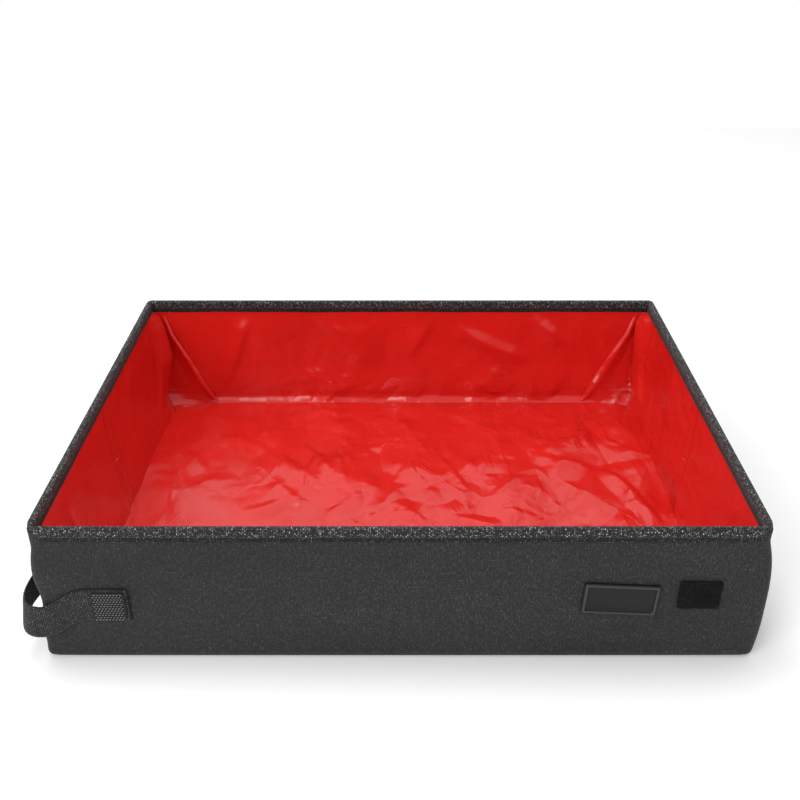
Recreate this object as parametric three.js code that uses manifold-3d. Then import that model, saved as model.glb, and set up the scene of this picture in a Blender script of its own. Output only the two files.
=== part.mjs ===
// A foldable travel litter box: a soft waterproof tray with stiffened walls and a taped rim.
// Millimetres, +Z up. The origin is on the ground under the middle of the tray.
// The front faces -Y. The end walls fold inwards at upright creases, so the front closes on the back.
import * as THREE from "three";
import * as BufferGeometryUtils from "three/addons/utils/BufferGeometryUtils.js";
import Module from "manifold-3d";

const wasm = await Module();
wasm.setup();

// Driving dimensions of the open box, measured over the rim tape
const boxLength = 400;
const boxDepth = 300;
const boxHeight = 92;

// Cloth, boards, film and tape
const oxfordThickness = 0.5;
const boardThickness = 1.2;
const filmThickness = 0.3;
const tapeThickness = 0.6;
const tapeDrop = 10;
const layerGap = 0.2;
const cutOverrun = 1;

// Outer cloth panels
const cornerRadius = 4;
const hemRadius = 3.2;
const creaseHalfGap = 0.5;
const creaseValleyDepth = 0.4;
const creaseValleyWidth = 3;
const cornerReturn = 4;
const cornerBulge = 5.3;
const bulgeMiddle = 36;
const wallSteps = 6;
const arcSteps = 6;

// Board insets inside the panels
const boardEndInset = 6;
const boardCreaseHalfGap = 2;
const boardFootClearance = 4.4;
const boardCornerRadius = 4;

// Rim tape
const tapeCornerRadius = 3.5;

// Hinge slack at the corners and creases
const cornerSlack = 0.3;
const creaseSlack = 0.6;

// Base cloth
const baseInset = 2;
const baseCornerRadius = 9;

// Loose film on the floor: coves along the walls, webs across the corners, and wrinkles
const filmEdgeClearance = 0.5;
const filmWebDrop = 3;
const coveWidthAtEnds = 8;
const coveHeightAtEnds = 24;
const coveWidthAtFronts = 5;
const coveHeightAtFronts = 9;
const webReachAlongFront = 42;
const webReachAlongEnd = 18;
const wrinkleHeight = 4.5;
const wrinkleHalfWidth = 17;
const webSteps = 4;
const floorColumns = 20;
const floorRows = 12;

// Film on the walls: soft folds between the rim tape and the edge of the floor's film
const foldHeight = 0.9;
const foldHalfWidth = 15;
const foldMargin = 7;
const longFilmColumns = 28;
const endFilmColumns = 12;
const wallFilmRows = 8;

// Carrying handle of webbing round the front left corner
const strapWidth = 22;
const strapThickness = 1.4;
const strapFrontEnd = 49;
const strapFrontLeave = 25.7;
const strapSideLeave = 57.2;
const strapSideEnd = 79.2;
const strapFrontDrop = 6;
const strapSag = 17;
const strapSagOvershoot = 2.3;
const strapStandOff = 1.5;
const strapBelly = 14.8;
const strapBellyDrop = 13.8;
const strapBellySetback = 13.2;
const strapSideDrop = 10.5;
const strapLean = 2.2;
const strapSteps = 46;

// Hook patch on the handle's sewn end, and its loop patch on the front
const patchThickness = 1.2;
const patchCornerRadius = 2;
const hookPatchLength = 19;
const hookPatchHeight = 19;
const hookPatchMargin = 1.5;
const hookRowHeight = 0.6;
const hookRowWidth = 0.7;
const hookRows = 9;
const loopPatchLength = 24;
const loopPatchHeight = 20.5;
const loopPatchFromEnd = 33.2;
const loopPatchRise = 2;

// Bare rubber plate sewn on the front
const plateLength = 43.5;
const plateHeight = 21;
const plateThickness = 1.1;
const plateRimWidth = 1.8;
const plateRimRise = 0.7;
const plateCornerRadius = 1.2;
const plateFromEnd = 76.7;
const plateDrop = 2;
const plateTilt = THREE.MathUtils.degToRad(-3);

// Places worked out from the driving dimensions
const panelOffset = tapeThickness + layerGap;
const panelHalfLength = boxLength / 2 - panelOffset;
const panelHalfDepth = boxDepth / 2 - panelOffset;
const panelFoot = oxfordThickness + layerGap;
const stackTop = boxHeight - tapeThickness - layerGap;
const boardInset = oxfordThickness + layerGap;
const filmInset = boardInset + boardThickness + layerGap;
const stackThickness = filmInset + filmThickness;
const tapeInnerInset = stackThickness + layerGap;
const rimThickness = panelOffset + tapeInnerInset + tapeThickness;
const innerHalfLength = panelHalfLength - stackThickness;
const innerHalfDepth = panelHalfDepth - stackThickness;
const rimInnerHalfLength = boxLength / 2 - rimThickness;
const rimInnerHalfDepth = boxDepth / 2 - rimThickness;
const hingeHalfDepth = rimInnerHalfDepth - cornerSlack;
const wallMiddle = boxHeight / 2;
const endPanelStart = panelHalfDepth - cornerRadius - cornerReturn - layerGap;
const tapeFoot = boxHeight - tapeDrop;
const webTop = tapeFoot - filmWebDrop;

// Materials
function cloth(color, roughness) {
  return new THREE.MeshStandardMaterial({ color, roughness, metalness: 0 });
}
const materials = {
  oxford: cloth(0x2b2b2d, 0.85),
  tape: cloth(0x242223, 0.9),
  film: cloth(0xc81812, 0.4),
  board: cloth(0xb9bcbf, 0.6),
  webbing: cloth(0x2a2929, 0.85),
  hook: cloth(0x1d1c1d, 0.8),
  loop: cloth(0x0f0f10, 1),
  rubber: cloth(0x222224, 0.55),
};

const box = new THREE.Group();

// Adds one named mesh to the box.
function piece(name, geometry, material) {
  const mesh = new THREE.Mesh(geometry, material);
  mesh.name = name;
  box.add(mesh);
  return mesh;
}

// The solid of a closed geometry, for joins and cuts.
function solidOf(geometry) {
  const bare = geometry.index ? geometry.toNonIndexed() : geometry.clone();
  bare.deleteAttribute("normal");
  bare.deleteAttribute("uv");
  const merged = BufferGeometryUtils.mergeVertices(bare);
  return new wasm.Manifold(
    new wasm.Mesh({
      numProp: 3,
      vertProperties: merged.attributes.position.array,
      triVerts: new Uint32Array(merged.index.array),
    }),
  );
}

// The geometry of a solid.
function geometryOf(solid) {
  const mesh = solid.getMesh();
  const geometry = new THREE.BufferGeometry();
  geometry.setAttribute("position", new THREE.BufferAttribute(mesh.vertProperties, 3));
  geometry.setIndex(new THREE.BufferAttribute(mesh.triVerts, 1));
  geometry.computeVertexNormals();
  return geometry;
}

// A block between two corners.
function block(low, high) {
  const size = new THREE.Vector3().subVectors(high, low);
  const centre = new THREE.Vector3().addVectors(low, high).multiplyScalar(1 / 2);
  return new THREE.BoxGeometry(size.x, size.y, size.z).translate(centre.x, centre.y, centre.z);
}

// A rectangle with rounded corners about the origin, as a shape.
function roundedRectangle(length, height, radius) {
  const halfLength = length / 2;
  const halfHeight = height / 2;
  const quarter = Math.PI / 2;
  const shape = new THREE.Shape();
  shape.moveTo(-halfLength + radius, -halfHeight);
  shape.absarc(halfLength - radius, -halfHeight + radius, radius, -quarter, 0);
  shape.absarc(halfLength - radius, halfHeight - radius, radius, 0, quarter);
  shape.absarc(-halfLength + radius, halfHeight - radius, radius, quarter, 2 * quarter);
  shape.absarc(-halfLength + radius, -halfHeight + radius, radius, 2 * quarter, 3 * quarter);
  return shape;
}

// A plate with rounded corners standing on edge, its back at y 0 and its face towards -Y.
function uprightPlate(length, height, radius, thickness) {
  const shape = roundedRectangle(length, height, radius);
  const plate = new THREE.ExtrudeGeometry(shape, {
    depth: thickness,
    bevelEnabled: false,
    curveSegments: arcSteps,
  });
  return plate.rotateX(Math.PI / 2);
}

// A closed sheet between two grids of points, face and back, each given by (column, row).
// Seen from the face, columns run to the right and rows run up. Each cell is split along its falling
// diagonal where falls(column, row) says so, and otherwise along its rising one.
function sheet(columns, rows, face, back, falls = () => false) {
  const points = [];
  const triangles = [];
  const stride = rows + 1;
  const count = (columns + 1) * stride;
  for (const side of [face, back]) {
    for (let i = 0; i <= columns; i += 1) {
      for (let j = 0; j <= rows; j += 1) {
        points.push(...side(i, j).toArray());
      }
    }
  }
  const at = (i, j, layer) => layer * count + i * stride + j;
  const quad = (a, b, c, d) => triangles.push(a, b, c, a, c, d);
  for (let i = 0; i < columns; i += 1) {
    for (let j = 0; j < rows; j += 1) {
      if (falls(i, j)) {
        quad(at(i + 1, j, 0), at(i + 1, j + 1, 0), at(i, j + 1, 0), at(i, j, 0));
        quad(at(i, j + 1, 1), at(i + 1, j + 1, 1), at(i + 1, j, 1), at(i, j, 1));
      } else {
        quad(at(i, j, 0), at(i + 1, j, 0), at(i + 1, j + 1, 0), at(i, j + 1, 0));
        quad(at(i, j, 1), at(i, j + 1, 1), at(i + 1, j + 1, 1), at(i + 1, j, 1));
      }
    }
    quad(at(i, 0, 1), at(i + 1, 0, 1), at(i + 1, 0, 0), at(i, 0, 0));
    quad(at(i, rows, 0), at(i + 1, rows, 0), at(i + 1, rows, 1), at(i, rows, 1));
  }
  for (let j = 0; j < rows; j += 1) {
    quad(at(0, j, 0), at(0, j + 1, 0), at(0, j + 1, 1), at(0, j, 1));
    quad(at(columns, j, 0), at(columns, j, 1), at(columns, j + 1, 1), at(columns, j + 1, 0));
  }
  const geometry = new THREE.BufferGeometry();
  geometry.setAttribute("position", new THREE.Float32BufferAttribute(points, 3));
  geometry.setIndex(triangles);
  geometry.computeVertexNormals();
  return geometry;
}

// The section of an outer panel from its turned-in foot up to its top, in a number of steps: inset
// and height of the outer skin and of the inner skin.
function panelSection(steps) {
  const section = [];
  const centreHeight = panelFoot + hemRadius;
  const innerRadius = hemRadius - oxfordThickness;
  for (let k = 0; k <= arcSteps; k += 1) {
    const turn = (Math.PI / 2) * (1 - k / arcSteps);
    section.push({
      outer: [hemRadius - hemRadius * Math.cos(turn), centreHeight - hemRadius * Math.sin(turn)],
      inner: [hemRadius - innerRadius * Math.cos(turn), centreHeight - innerRadius * Math.sin(turn)],
    });
  }
  for (let k = 1; k <= steps; k += 1) {
    const height = THREE.MathUtils.lerp(centreHeight, tapeFoot - layerGap, k / steps);
    section.push({ outer: [0, height], inner: [oxfordThickness, height] });
  }
  section.push({ outer: [0, stackTop], inner: [oxfordThickness, stackTop] });
  return section;
}

// How far the soft corners of a long panel stand out at a height, below the tape.
function bulge(height) {
  const reach = tapeFoot - layerGap - bulgeMiddle;
  const share = Math.abs(height - bulgeMiddle) / reach;
  return cornerBulge * Math.max(0, 1 - share ** 3);
}

// The plan of the long outer panel, left to right: stations with a place on the outer face, the
// direction outwards and the share of the bulge. It turns both corners, closes on the end wall past
// them, and has a stitched valley at its middle.
function longPanelPlan() {
  const plan = [];
  const endX = panelHalfLength - cornerRadius;
  const endY = cornerRadius - panelHalfDepth;
  for (const side of [-1, 1]) {
    const corner = [];
    for (let k = 0; k <= arcSteps; k += 1) {
      const turn = (Math.PI / 2) * (k / arcSteps);
      const outward = new THREE.Vector2(side * Math.sin(turn), -Math.cos(turn));
      const place = new THREE.Vector2(side * endX, endY).addScaledVector(outward, cornerRadius);
      corner.push({ place, outward, share: 1 });
    }
    corner.push({
      place: new THREE.Vector2(side * panelHalfLength, endY + cornerReturn),
      outward: new THREE.Vector2(side, 0),
      share: 0,
    });
    const valley = [1, 1 / 2].map((spread) => ({
      place: new THREE.Vector2(
        (side * creaseValleyWidth * spread) / 2,
        -panelHalfDepth + creaseValleyDepth * (2 - 2 * spread),
      ),
      outward: new THREE.Vector2(0, -1),
      share: 0,
    }));
    if (side < 0) {
      plan.push(...corner.reverse(), ...valley);
    } else {
      plan.push(...valley.reverse(), ...corner);
    }
  }
  return plan;
}

// An outer panel that follows a plan, hemmed at its foot.
function outerPanel(plan, steps) {
  const section = panelSection(steps);
  const skin = (key) => (i, j) => {
    const { place, outward, share } = plan[i];
    const [inset, height] = section[j][key];
    const at = place.clone().addScaledVector(outward, -inset);
    return new THREE.Vector3(at.x + Math.sign(at.x) * share * bulge(height), at.y, height);
  };
  return sheet(plan.length - 1, section.length - 1, skin("outer"), skin("inner"));
}

// Turns a piece of the front round to the back of the box.
function turnedRound(geometry) {
  return geometry.clone().rotateZ(Math.PI);
}

// The front tape: an upside-down channel that turns both corners and takes the wall between its legs.
function longTape() {
  const turnX = boxLength / 2 - tapeCornerRadius;
  const turnY = tapeCornerRadius - boxDepth / 2;
  const plan = new THREE.Shape();
  plan.moveTo(boxLength / 2, -rimInnerHalfDepth);
  plan.lineTo(-boxLength / 2, -rimInnerHalfDepth);
  plan.absarc(-turnX, turnY, tapeCornerRadius, Math.PI, (Math.PI * 3) / 2);
  plan.absarc(turnX, turnY, tapeCornerRadius, -Math.PI / 2, 0);
  const bar = new THREE.ExtrudeGeometry(plan, {
    depth: tapeDrop,
    bevelEnabled: false,
    curveSegments: arcSteps,
  });
  bar.translate(0, 0, tapeFoot);
  const low = tapeFoot - cutOverrun;
  const high = boxHeight - tapeThickness;
  const slotHalfLength = boxLength / 2 - tapeThickness;
  const slotFront = tapeThickness - boxDepth / 2;
  const slotBack = -panelHalfDepth + tapeInnerInset;
  const slot = block(
    new THREE.Vector3(-slotHalfLength, slotFront, low),
    new THREE.Vector3(slotHalfLength, slotBack, high),
  );
  let tape = solidOf(bar).subtract(solidOf(slot));
  for (const side of [-1, 1]) {
    const outside = side * slotHalfLength;
    const inside = side * (panelHalfLength - oxfordThickness - 2 * layerGap);
    const passage = block(
      new THREE.Vector3(Math.min(outside, inside), slotFront, low),
      new THREE.Vector3(Math.max(outside, inside), cutOverrun - rimInnerHalfDepth, high),
    );
    tape = tape.subtract(solidOf(passage));
  }
  return geometryOf(tape);
}

// The tape of one end-wall half, a channel along Y between the corner hinge and the crease.
function endTape(startY, endY) {
  const outside = -boxLength / 2;
  const inside = -rimInnerHalfLength;
  const section = new THREE.Shape();
  section.moveTo(outside, tapeFoot);
  section.lineTo(outside + tapeThickness, tapeFoot);
  section.lineTo(outside + tapeThickness, boxHeight - tapeThickness);
  section.lineTo(inside - tapeThickness, boxHeight - tapeThickness);
  section.lineTo(inside - tapeThickness, tapeFoot);
  section.lineTo(inside, tapeFoot);
  section.lineTo(inside, boxHeight);
  section.lineTo(outside, boxHeight);
  const channel = new THREE.ExtrudeGeometry(section, { depth: endY - startY, bevelEnabled: false });
  return channel.rotateX(Math.PI / 2).translate(0, endY, 0);
}

// A stiffening board with rounded corners, standing behind the front panel.
function longBoard(startX, endX) {
  const foot = panelFoot + boardFootClearance;
  const plate = uprightPlate(endX - startX, stackTop - foot, boardCornerRadius, boardThickness);
  const back = -panelHalfDepth + boardInset + boardThickness;
  return plate.translate((startX + endX) / 2, back, (stackTop + foot) / 2);
}

// A stiffening board of one end-wall half, standing behind the left end panel.
function endBoard(startY, endY) {
  const foot = panelFoot + boardFootClearance;
  const plate = uprightPlate(endY - startY, stackTop - foot, boardCornerRadius, boardThickness);
  const back = -panelHalfLength + boardInset + boardThickness;
  plate.rotateZ(-Math.PI / 2);
  return plate.translate(back, (startY + endY) / 2, (stackTop + foot) / 2);
}

// The four end-wall halves: mirror signs about the box's middle.
const endHalves = [
  { name: "left_front", signX: 1, signY: 1 },
  { name: "left_rear", signX: 1, signY: -1 },
  { name: "right_front", signX: -1, signY: 1 },
  { name: "right_rear", signX: -1, signY: -1 },
];

// Moves a piece of the left front half to another half, by mirroring, with its faces kept outwards.
function mirrored(geometry, signX, signY) {
  const copy = geometry.index ? geometry.toNonIndexed() : geometry.clone();
  const position = copy.getAttribute("position");
  for (let i = 0; i < position.count; i += 1) {
    position.setX(i, position.getX(i) * signX);
    position.setY(i, position.getY(i) * signY);
  }
  if (signX * signY < 0) {
    for (let i = 0; i < position.count; i += 3) {
      const second = new THREE.Vector3().fromBufferAttribute(position, i + 1);
      const third = new THREE.Vector3().fromBufferAttribute(position, i + 2);
      position.setXYZ(i + 1, third.x, third.y, third.z);
      position.setXYZ(i + 2, second.x, second.y, second.z);
    }
  }
  copy.deleteAttribute("uv");
  copy.computeVertexNormals();
  return copy;
}

// The long panel, with its corners cut away under the end walls' tape, which turns with them.
function longPanel() {
  let panel = solidOf(outerPanel(longPanelPlan(), wallSteps));
  const foot = tapeFoot - layerGap;
  for (const side of [-1, 1]) {
    const edges = [side * rimInnerHalfLength, side * (panelHalfLength + cutOverrun)];
    const notch = block(
      new THREE.Vector3(Math.min(...edges), -rimInnerHalfDepth, foot),
      new THREE.Vector3(Math.max(...edges), -innerHalfDepth / 2, boxHeight),
    );
    panel = panel.subtract(solidOf(notch));
  }
  return geometryOf(panel);
}

// The tallest of a film's ridges at a place, as a share of the tallest one. Each ridge is given by
// its two ends, in shares of two spans, and by its height.
function ridgeShare(ridges, place, spans, halfWidth) {
  const nearest = new THREE.Vector3();
  let tallest = 0;
  for (const { from, to, height } of ridges) {
    const start = new THREE.Vector3(from[0] * spans.x, from[1] * spans.y, 0);
    const end = new THREE.Vector3(to[0] * spans.x, to[1] * spans.y, 0);
    new THREE.Line3(start, end).closestPointToPoint(place, true, nearest);
    const fall = Math.max(0, 1 - nearest.distanceTo(place) / halfWidth);
    tallest = Math.max(tallest, height * fall);
  }
  return tallest;
}

// The soft folds of the four walls' film, seen from inside the box: the ends of each ridge in shares
// of the wall's half length and of the box's height.
const foldShares = {
  back: [
    { from: [-0.61, 0.9], to: [-0.72, 0.28], height: 1 },
    { from: [-0.33, 0.88], to: [-0.22, 0.68], height: 0.6 },
    { from: [0.12, 0.9], to: [0.03, 0.55], height: 0.9 },
    { from: [0.25, 0.75], to: [0.52, 0.48], height: 0.9 },
    { from: [0.52, 0.88], to: [0.66, 0.62], height: 0.8 },
  ],
  front: [
    { from: [-0.6, 0.85], to: [-0.45, 0.35], height: 0.9 },
    { from: [-0.1, 0.9], to: [-0.02, 0.3], height: 0.8 },
    { from: [0.35, 0.8], to: [0.62, 0.5], height: 1 },
  ],
  left: [
    { from: [0.82, 0.85], to: [0.76, 0.45], height: 1 },
    { from: [0.02, 0.85], to: [0.2, 0.55], height: 0.9 },
    { from: [-0.2, 0.6], to: [0.02, 0.75], height: 0.7 },
    { from: [-0.72, 0.8], to: [-0.6, 0.5], height: 0.6 },
  ],
  right: [
    { from: [-0.82, 0.85], to: [-0.74, 0.45], height: 1 },
    { from: [-0.22, 0.6], to: [-0.02, 0.85], height: 0.9 },
    { from: [0.02, 0.7], to: [0.18, 0.5], height: 0.7 },
    { from: [0.6, 0.55], to: [0.75, 0.8], height: 0.6 },
  ],
};

// The walls as their film meets them: the reach of the floor's film up the wall and of its corner webs
// along it, and the wall's place, seen from inside the box and then turned about its middle.
const longWall = {
  halfLength: innerHalfLength,
  away: innerHalfDepth,
  cove: coveHeightAtFronts,
  web: webReachAlongFront,
  columns: longFilmColumns,
};
const endWall = {
  halfLength: innerHalfDepth,
  away: innerHalfLength,
  cove: coveHeightAtEnds,
  web: webReachAlongEnd,
  columns: endFilmColumns,
};
const wallFilms = {
  back: { ...longWall, folds: foldShares.back, turn: 0 },
  left: { ...endWall, folds: foldShares.left, turn: Math.PI / 2 },
  front: { ...longWall, folds: foldShares.front, turn: Math.PI },
  right: { ...endWall, folds: foldShares.right, turn: -Math.PI / 2 },
};

// How far a wall's film stands in from its wall at a place: its folds, which die out below the tape
// and above the edge of the floor's film.
function foldRise(wall, x, height) {
  const webFoot = webTop * (1 - (wall.halfLength - Math.abs(x)) / wall.web);
  const foot = panelFoot + Math.max(wall.cove, webFoot);
  const room = Math.min(height - foot, tapeFoot - layerGap - height);
  const spans = { x: wall.halfLength, y: boxHeight };
  const share = ridgeShare(wall.folds, new THREE.Vector3(x, height, 0), spans, foldHalfWidth);
  return foldHeight * share * THREE.MathUtils.clamp(room / foldMargin, 0, 1);
}

// The film of a wall between two places along it.
function wallFilm(wall, start, end) {
  const heights = [panelFoot + hemRadius / 2];
  for (let k = 0; k <= wallFilmRows; k += 1) {
    const share = k / wallFilmRows;
    heights.push(THREE.MathUtils.lerp(panelFoot + wall.cove, tapeFoot - layerGap, share));
  }
  heights.push(stackTop);
  const skin = (inset) => (i, j) => {
    const x = THREE.MathUtils.lerp(start, end, i / wall.columns);
    return new THREE.Vector3(x, wall.away + inset - foldRise(wall, x, heights[j]), heights[j]);
  };
  const film = sheet(wall.columns, heights.length - 1, skin(0), skin(filmThickness));
  return film.rotateZ(wall.turn);
}

// Long walls, front and back, each with two boards that meet at the middle crease
function addLongWalls() {
  const panel = longPanel();
  const tape = longTape();
  const boardEnd = panelHalfLength - boardEndInset;
  const boards = {
    left: longBoard(-boardEnd, -boardCreaseHalfGap),
    right: longBoard(boardCreaseHalfGap, boardEnd),
  };
  piece("front_panel", panel, materials.oxford);
  piece("front_board_left", boards.left, materials.board);
  piece("front_board_right", boards.right, materials.board);
  piece("front_liner", wallFilm(wallFilms.front, -innerHalfLength, innerHalfLength), materials.film);
  piece("front_rim_tape", tape, materials.tape);
  piece("back_panel", turnedRound(panel), materials.oxford);
  piece("back_board_left", turnedRound(boards.right), materials.board);
  piece("back_board_right", turnedRound(boards.left), materials.board);
  piece("back_liner", wallFilm(wallFilms.back, -innerHalfLength, innerHalfLength), materials.film);
  piece("back_rim_tape", turnedRound(tape), materials.tape);
}

// End walls, each in two halves that meet at the crease
function addEndWalls() {
  const stations = [-creaseHalfGap, -endPanelStart];
  const plan = stations.map((y) => ({
    place: new THREE.Vector2(-panelHalfLength, y),
    outward: new THREE.Vector2(-1, 0),
    share: 0,
  }));
  const panel = outerPanel(plan, 1);
  const tape = endTape(-hingeHalfDepth, -creaseHalfGap);
  const board = endBoard(creaseHalfGap - hingeHalfDepth, -creaseHalfGap);
  for (const { name, signX, signY } of endHalves) {
    const wall = signX > 0 ? wallFilms.left : wallFilms.right;
    const [near, far] = [creaseHalfGap, hingeHalfDepth - layerGap];
    const liner = signX * signY > 0 ? wallFilm(wall, -far, -near) : wallFilm(wall, near, far);
    piece(`${name}_panel`, mirrored(panel, signX, signY), materials.oxford);
    piece(`${name}_board`, mirrored(board, signX, signY), materials.board);
    piece(`${name}_liner`, liner, materials.film);
    piece(`${name}_rim_tape`, mirrored(tape, signX, signY), materials.tape);
  }
}

// The base cloth that the box stands on
function addBase() {
  const length = 2 * (panelHalfLength - baseInset);
  const depth = 2 * (panelHalfDepth - baseInset);
  const cloth = new THREE.ExtrudeGeometry(roundedRectangle(length, depth, baseCornerRadius), {
    depth: oxfordThickness,
    bevelEnabled: false,
    curveSegments: arcSteps,
  });
  piece("base_panel", cloth, materials.oxford);
}

// Rises from 0 to 1 as share goes from 0 to 1, with no slope at the start.
function rise(share) {
  const held = THREE.MathUtils.clamp(share, 0, 1);
  return held * held;
}

// The main wrinkles of the loose film: the two ends of each fold's ridge in shares of the floor's
// half sizes, and its height as a share of the tallest.
const wrinkleShares = [
  { from: [-0.69, 0.64], to: [-0.51, 0.44], height: 0.7 },
  { from: [-0.51, 0.44], to: [-0.3, 0.14], height: 0.9 },
  { from: [-0.38, 0.57], to: [-0.23, 0.27], height: 0.8 },
  { from: [-0.54, -0.07], to: [-0.42, 0.05], height: 0.6 },
  { from: [-0.2, 0.8], to: [0.04, 0.65], height: 0.5 },
  { from: [-0.11, -0.17], to: [-0.01, 0.15], height: 0.7 },
  { from: [0.01, 0.46], to: [0.16, 0.03], height: 0.9 },
  { from: [0.11, 0.64], to: [0.29, 0.04], height: 0.6 },
  { from: [0.33, 0.08], to: [0.47, 0.28], height: 0.5 },
  { from: [0.17, -0.09], to: [0.48, -0.15], height: 0.6 },
  { from: [0.51, 0.42], to: [0.75, 0.64], height: 0.6 },
  { from: [0.57, 0.4], to: [0.73, 0.3], height: 0.7 },
  { from: [0.73, 0.3], to: [0.63, 0.01], height: 0.8 },
  { from: [0.75, 0.3], to: [0.86, -0.02], height: 1 },
  { from: [-0.65, -0.7], to: [-0.3, -0.35], height: 0.8 },
  { from: [-0.1, -0.45], to: [0.1, -0.75], height: 0.6 },
  { from: [0.3, -0.4], to: [0.62, -0.7], height: 0.9 },
];

// The height of the wrinkles at a place on the floor.
function wrinkle(x, y) {
  const spans = { x: innerHalfLength, y: innerHalfDepth };
  const share = ridgeShare(wrinkleShares, new THREE.Vector3(x, y, 0), spans, wrinkleHalfWidth);
  return wrinkleHeight * share;
}

// The top of the floor film at a place on the floor: flat with wrinkles in the middle, curving up
// along the walls, with a straight web across each corner up to the rim.
function filmTop(x, y) {
  const fromEnd = innerHalfLength - filmEdgeClearance - Math.abs(x);
  const fromFront = innerHalfDepth - filmEdgeClearance - Math.abs(y);
  const endCove = coveHeightAtEnds * rise(1 - fromEnd / coveWidthAtEnds);
  const frontCove = coveHeightAtFronts * rise(1 - fromFront / coveWidthAtFronts);
  const web = webTop * Math.max(0, 1 - fromEnd / webReachAlongFront - fromFront / webReachAlongEnd);
  const floor = panelFoot + filmThickness + wrinkle(x, y);
  return floor + Math.max(endCove, frontCove, web);
}

// Grid lines from one wall to the other: close together over each corner web, even between them.
function gridLines(halfSpan, reach, middleSteps) {
  const lines = [];
  for (let k = 0; k < webSteps; k += 1) {
    const share = k / webSteps;
    const eased = (share + THREE.MathUtils.smoothstep(share, 0, 1)) / 2;
    lines.push(reach * eased - halfSpan);
  }
  const mirroredLines = lines.map((line) => -line).reverse();
  for (let k = 0; k <= middleSteps; k += 1) {
    lines.push(THREE.MathUtils.lerp(reach - halfSpan, halfSpan - reach, k / middleSteps));
  }
  return [...lines, ...mirroredLines];
}

// The loose film of the floor, one sheet with its coves and corner webs
function addFloorLiner() {
  const halfX = innerHalfLength - filmEdgeClearance;
  const halfY = innerHalfDepth - filmEdgeClearance;
  const columns = gridLines(halfX, webReachAlongFront, floorColumns);
  const rows = gridLines(halfY, webReachAlongEnd, floorRows);
  const skin = (inset) => (i, j) =>
    new THREE.Vector3(columns[i], rows[j], filmTop(columns[i], rows[j]) - inset);
  const falls = (i, j) => (columns[i] + columns[i + 1]) * (rows[j] + rows[j + 1]) > 0;
  const film = sheet(columns.length - 1, rows.length - 1, skin(0), skin(filmThickness), falls);
  piece("floor_liner", film, materials.film);
}

// The handle's middle line: along the front, out round the corner where it sags, and back up to the
// end wall.
function strapLine() {
  const faceX = -panelHalfLength - layerGap - strapThickness / 2;
  const faceY = -panelHalfDepth - layerGap - strapThickness / 2;
  const at = (run, y, drop) => new THREE.Vector3(run - panelHalfLength, y, wallMiddle - drop);
  const fromFront = (run) => run - panelHalfDepth;
  const frontEnd = at(strapFrontEnd, faceY, strapFrontDrop);
  const frontLeave = at(strapFrontLeave, faceY, strapFrontDrop);
  const sag = at(-strapSagOvershoot, faceY - strapStandOff, strapSag);
  const belly = at(-strapBelly, fromFront(strapBellySetback), strapBellyDrop);
  const sideLeave = new THREE.Vector3(faceX, fromFront(strapSideLeave), wallMiddle - strapSideDrop);
  const sideEnd = sideLeave.clone().setY(fromFront(strapSideEnd));
  const third = new THREE.Vector3(strapSagOvershoot * (9 / 2), 0, 0);
  const turn = new THREE.Vector3(0, (strapBellySetback * 3) / 4, 0);
  const back = new THREE.Vector3(0, (strapBelly * 8) / 5, 0);
  const line = new THREE.CurvePath();
  line.add(new THREE.LineCurve3(frontEnd, frontLeave));
  line.add(
    new THREE.CubicBezierCurve3(frontLeave, frontLeave.clone().sub(third), sag.clone().add(third), sag),
  );
  line.add(
    new THREE.CubicBezierCurve3(sag, sag.clone().sub(third), belly.clone().sub(turn), belly),
  );
  line.add(
    new THREE.CubicBezierCurve3(
      belly,
      belly.clone().add(back),
      sideLeave.clone().sub(turn),
      sideLeave,
    ),
  );
  line.add(new THREE.LineCurve3(sideLeave, sideEnd));
  return line;
}

// The handle: flat webbing swept along its middle line, standing on edge. Where it swings out past
// the corner its lower edge leans outwards.
function addHandle() {
  const line = strapLine();
  const at = (i) => line.getPoint(i / strapSteps);
  const outward = (i) => {
    const along = line.getTangent(i / strapSteps).setZ(0).normalize();
    return new THREE.Vector3(along.y, -along.x, 0);
  };
  const skin = (side) => (i, j) => {
    const station = at(strapSteps - i);
    const away = outward(strapSteps - i);
    const swing = THREE.MathUtils.clamp((-station.x - panelHalfLength) / strapBelly, 0, 1);
    const rise = j - 1 / 2;
    const lean = (-side * strapThickness) / 2 - 2 * rise * strapLean * swing;
    return station.addScaledVector(away, lean).setZ(station.z + strapWidth * rise);
  };
  piece("handle_strap", sheet(strapSteps, 1, skin(1), skin(-1)), materials.webbing);
}

// The hook patch: a backing with upright rows of hooks, sewn on the handle's front end.
function addHookPatch() {
  const backing = uprightPlate(hookPatchLength, hookPatchHeight, patchCornerRadius, patchThickness);
  const pitch = (hookPatchHeight - 2 * patchCornerRadius) / hookRows;
  const halfRun = hookPatchLength / 2 - patchCornerRadius;
  let patch = solidOf(backing);
  for (let k = 0; k < hookRows; k += 1) {
    const height = (k - (hookRows - 1) / 2) * pitch;
    const row = block(
      new THREE.Vector3(-halfRun, -patchThickness - hookRowHeight, height - hookRowWidth / 2),
      new THREE.Vector3(halfRun, -patchThickness / 2, height + hookRowWidth / 2),
    );
    patch = patch.add(solidOf(row));
  }
  const seat = -panelHalfDepth - 2 * layerGap - strapThickness;
  const mesh = piece("hook_patch", geometryOf(patch), materials.hook);
  const centre = strapFrontEnd - hookPatchMargin - hookPatchLength / 2;
  mesh.position.set(centre - panelHalfLength, seat, wallMiddle - strapFrontDrop);
}

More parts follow.
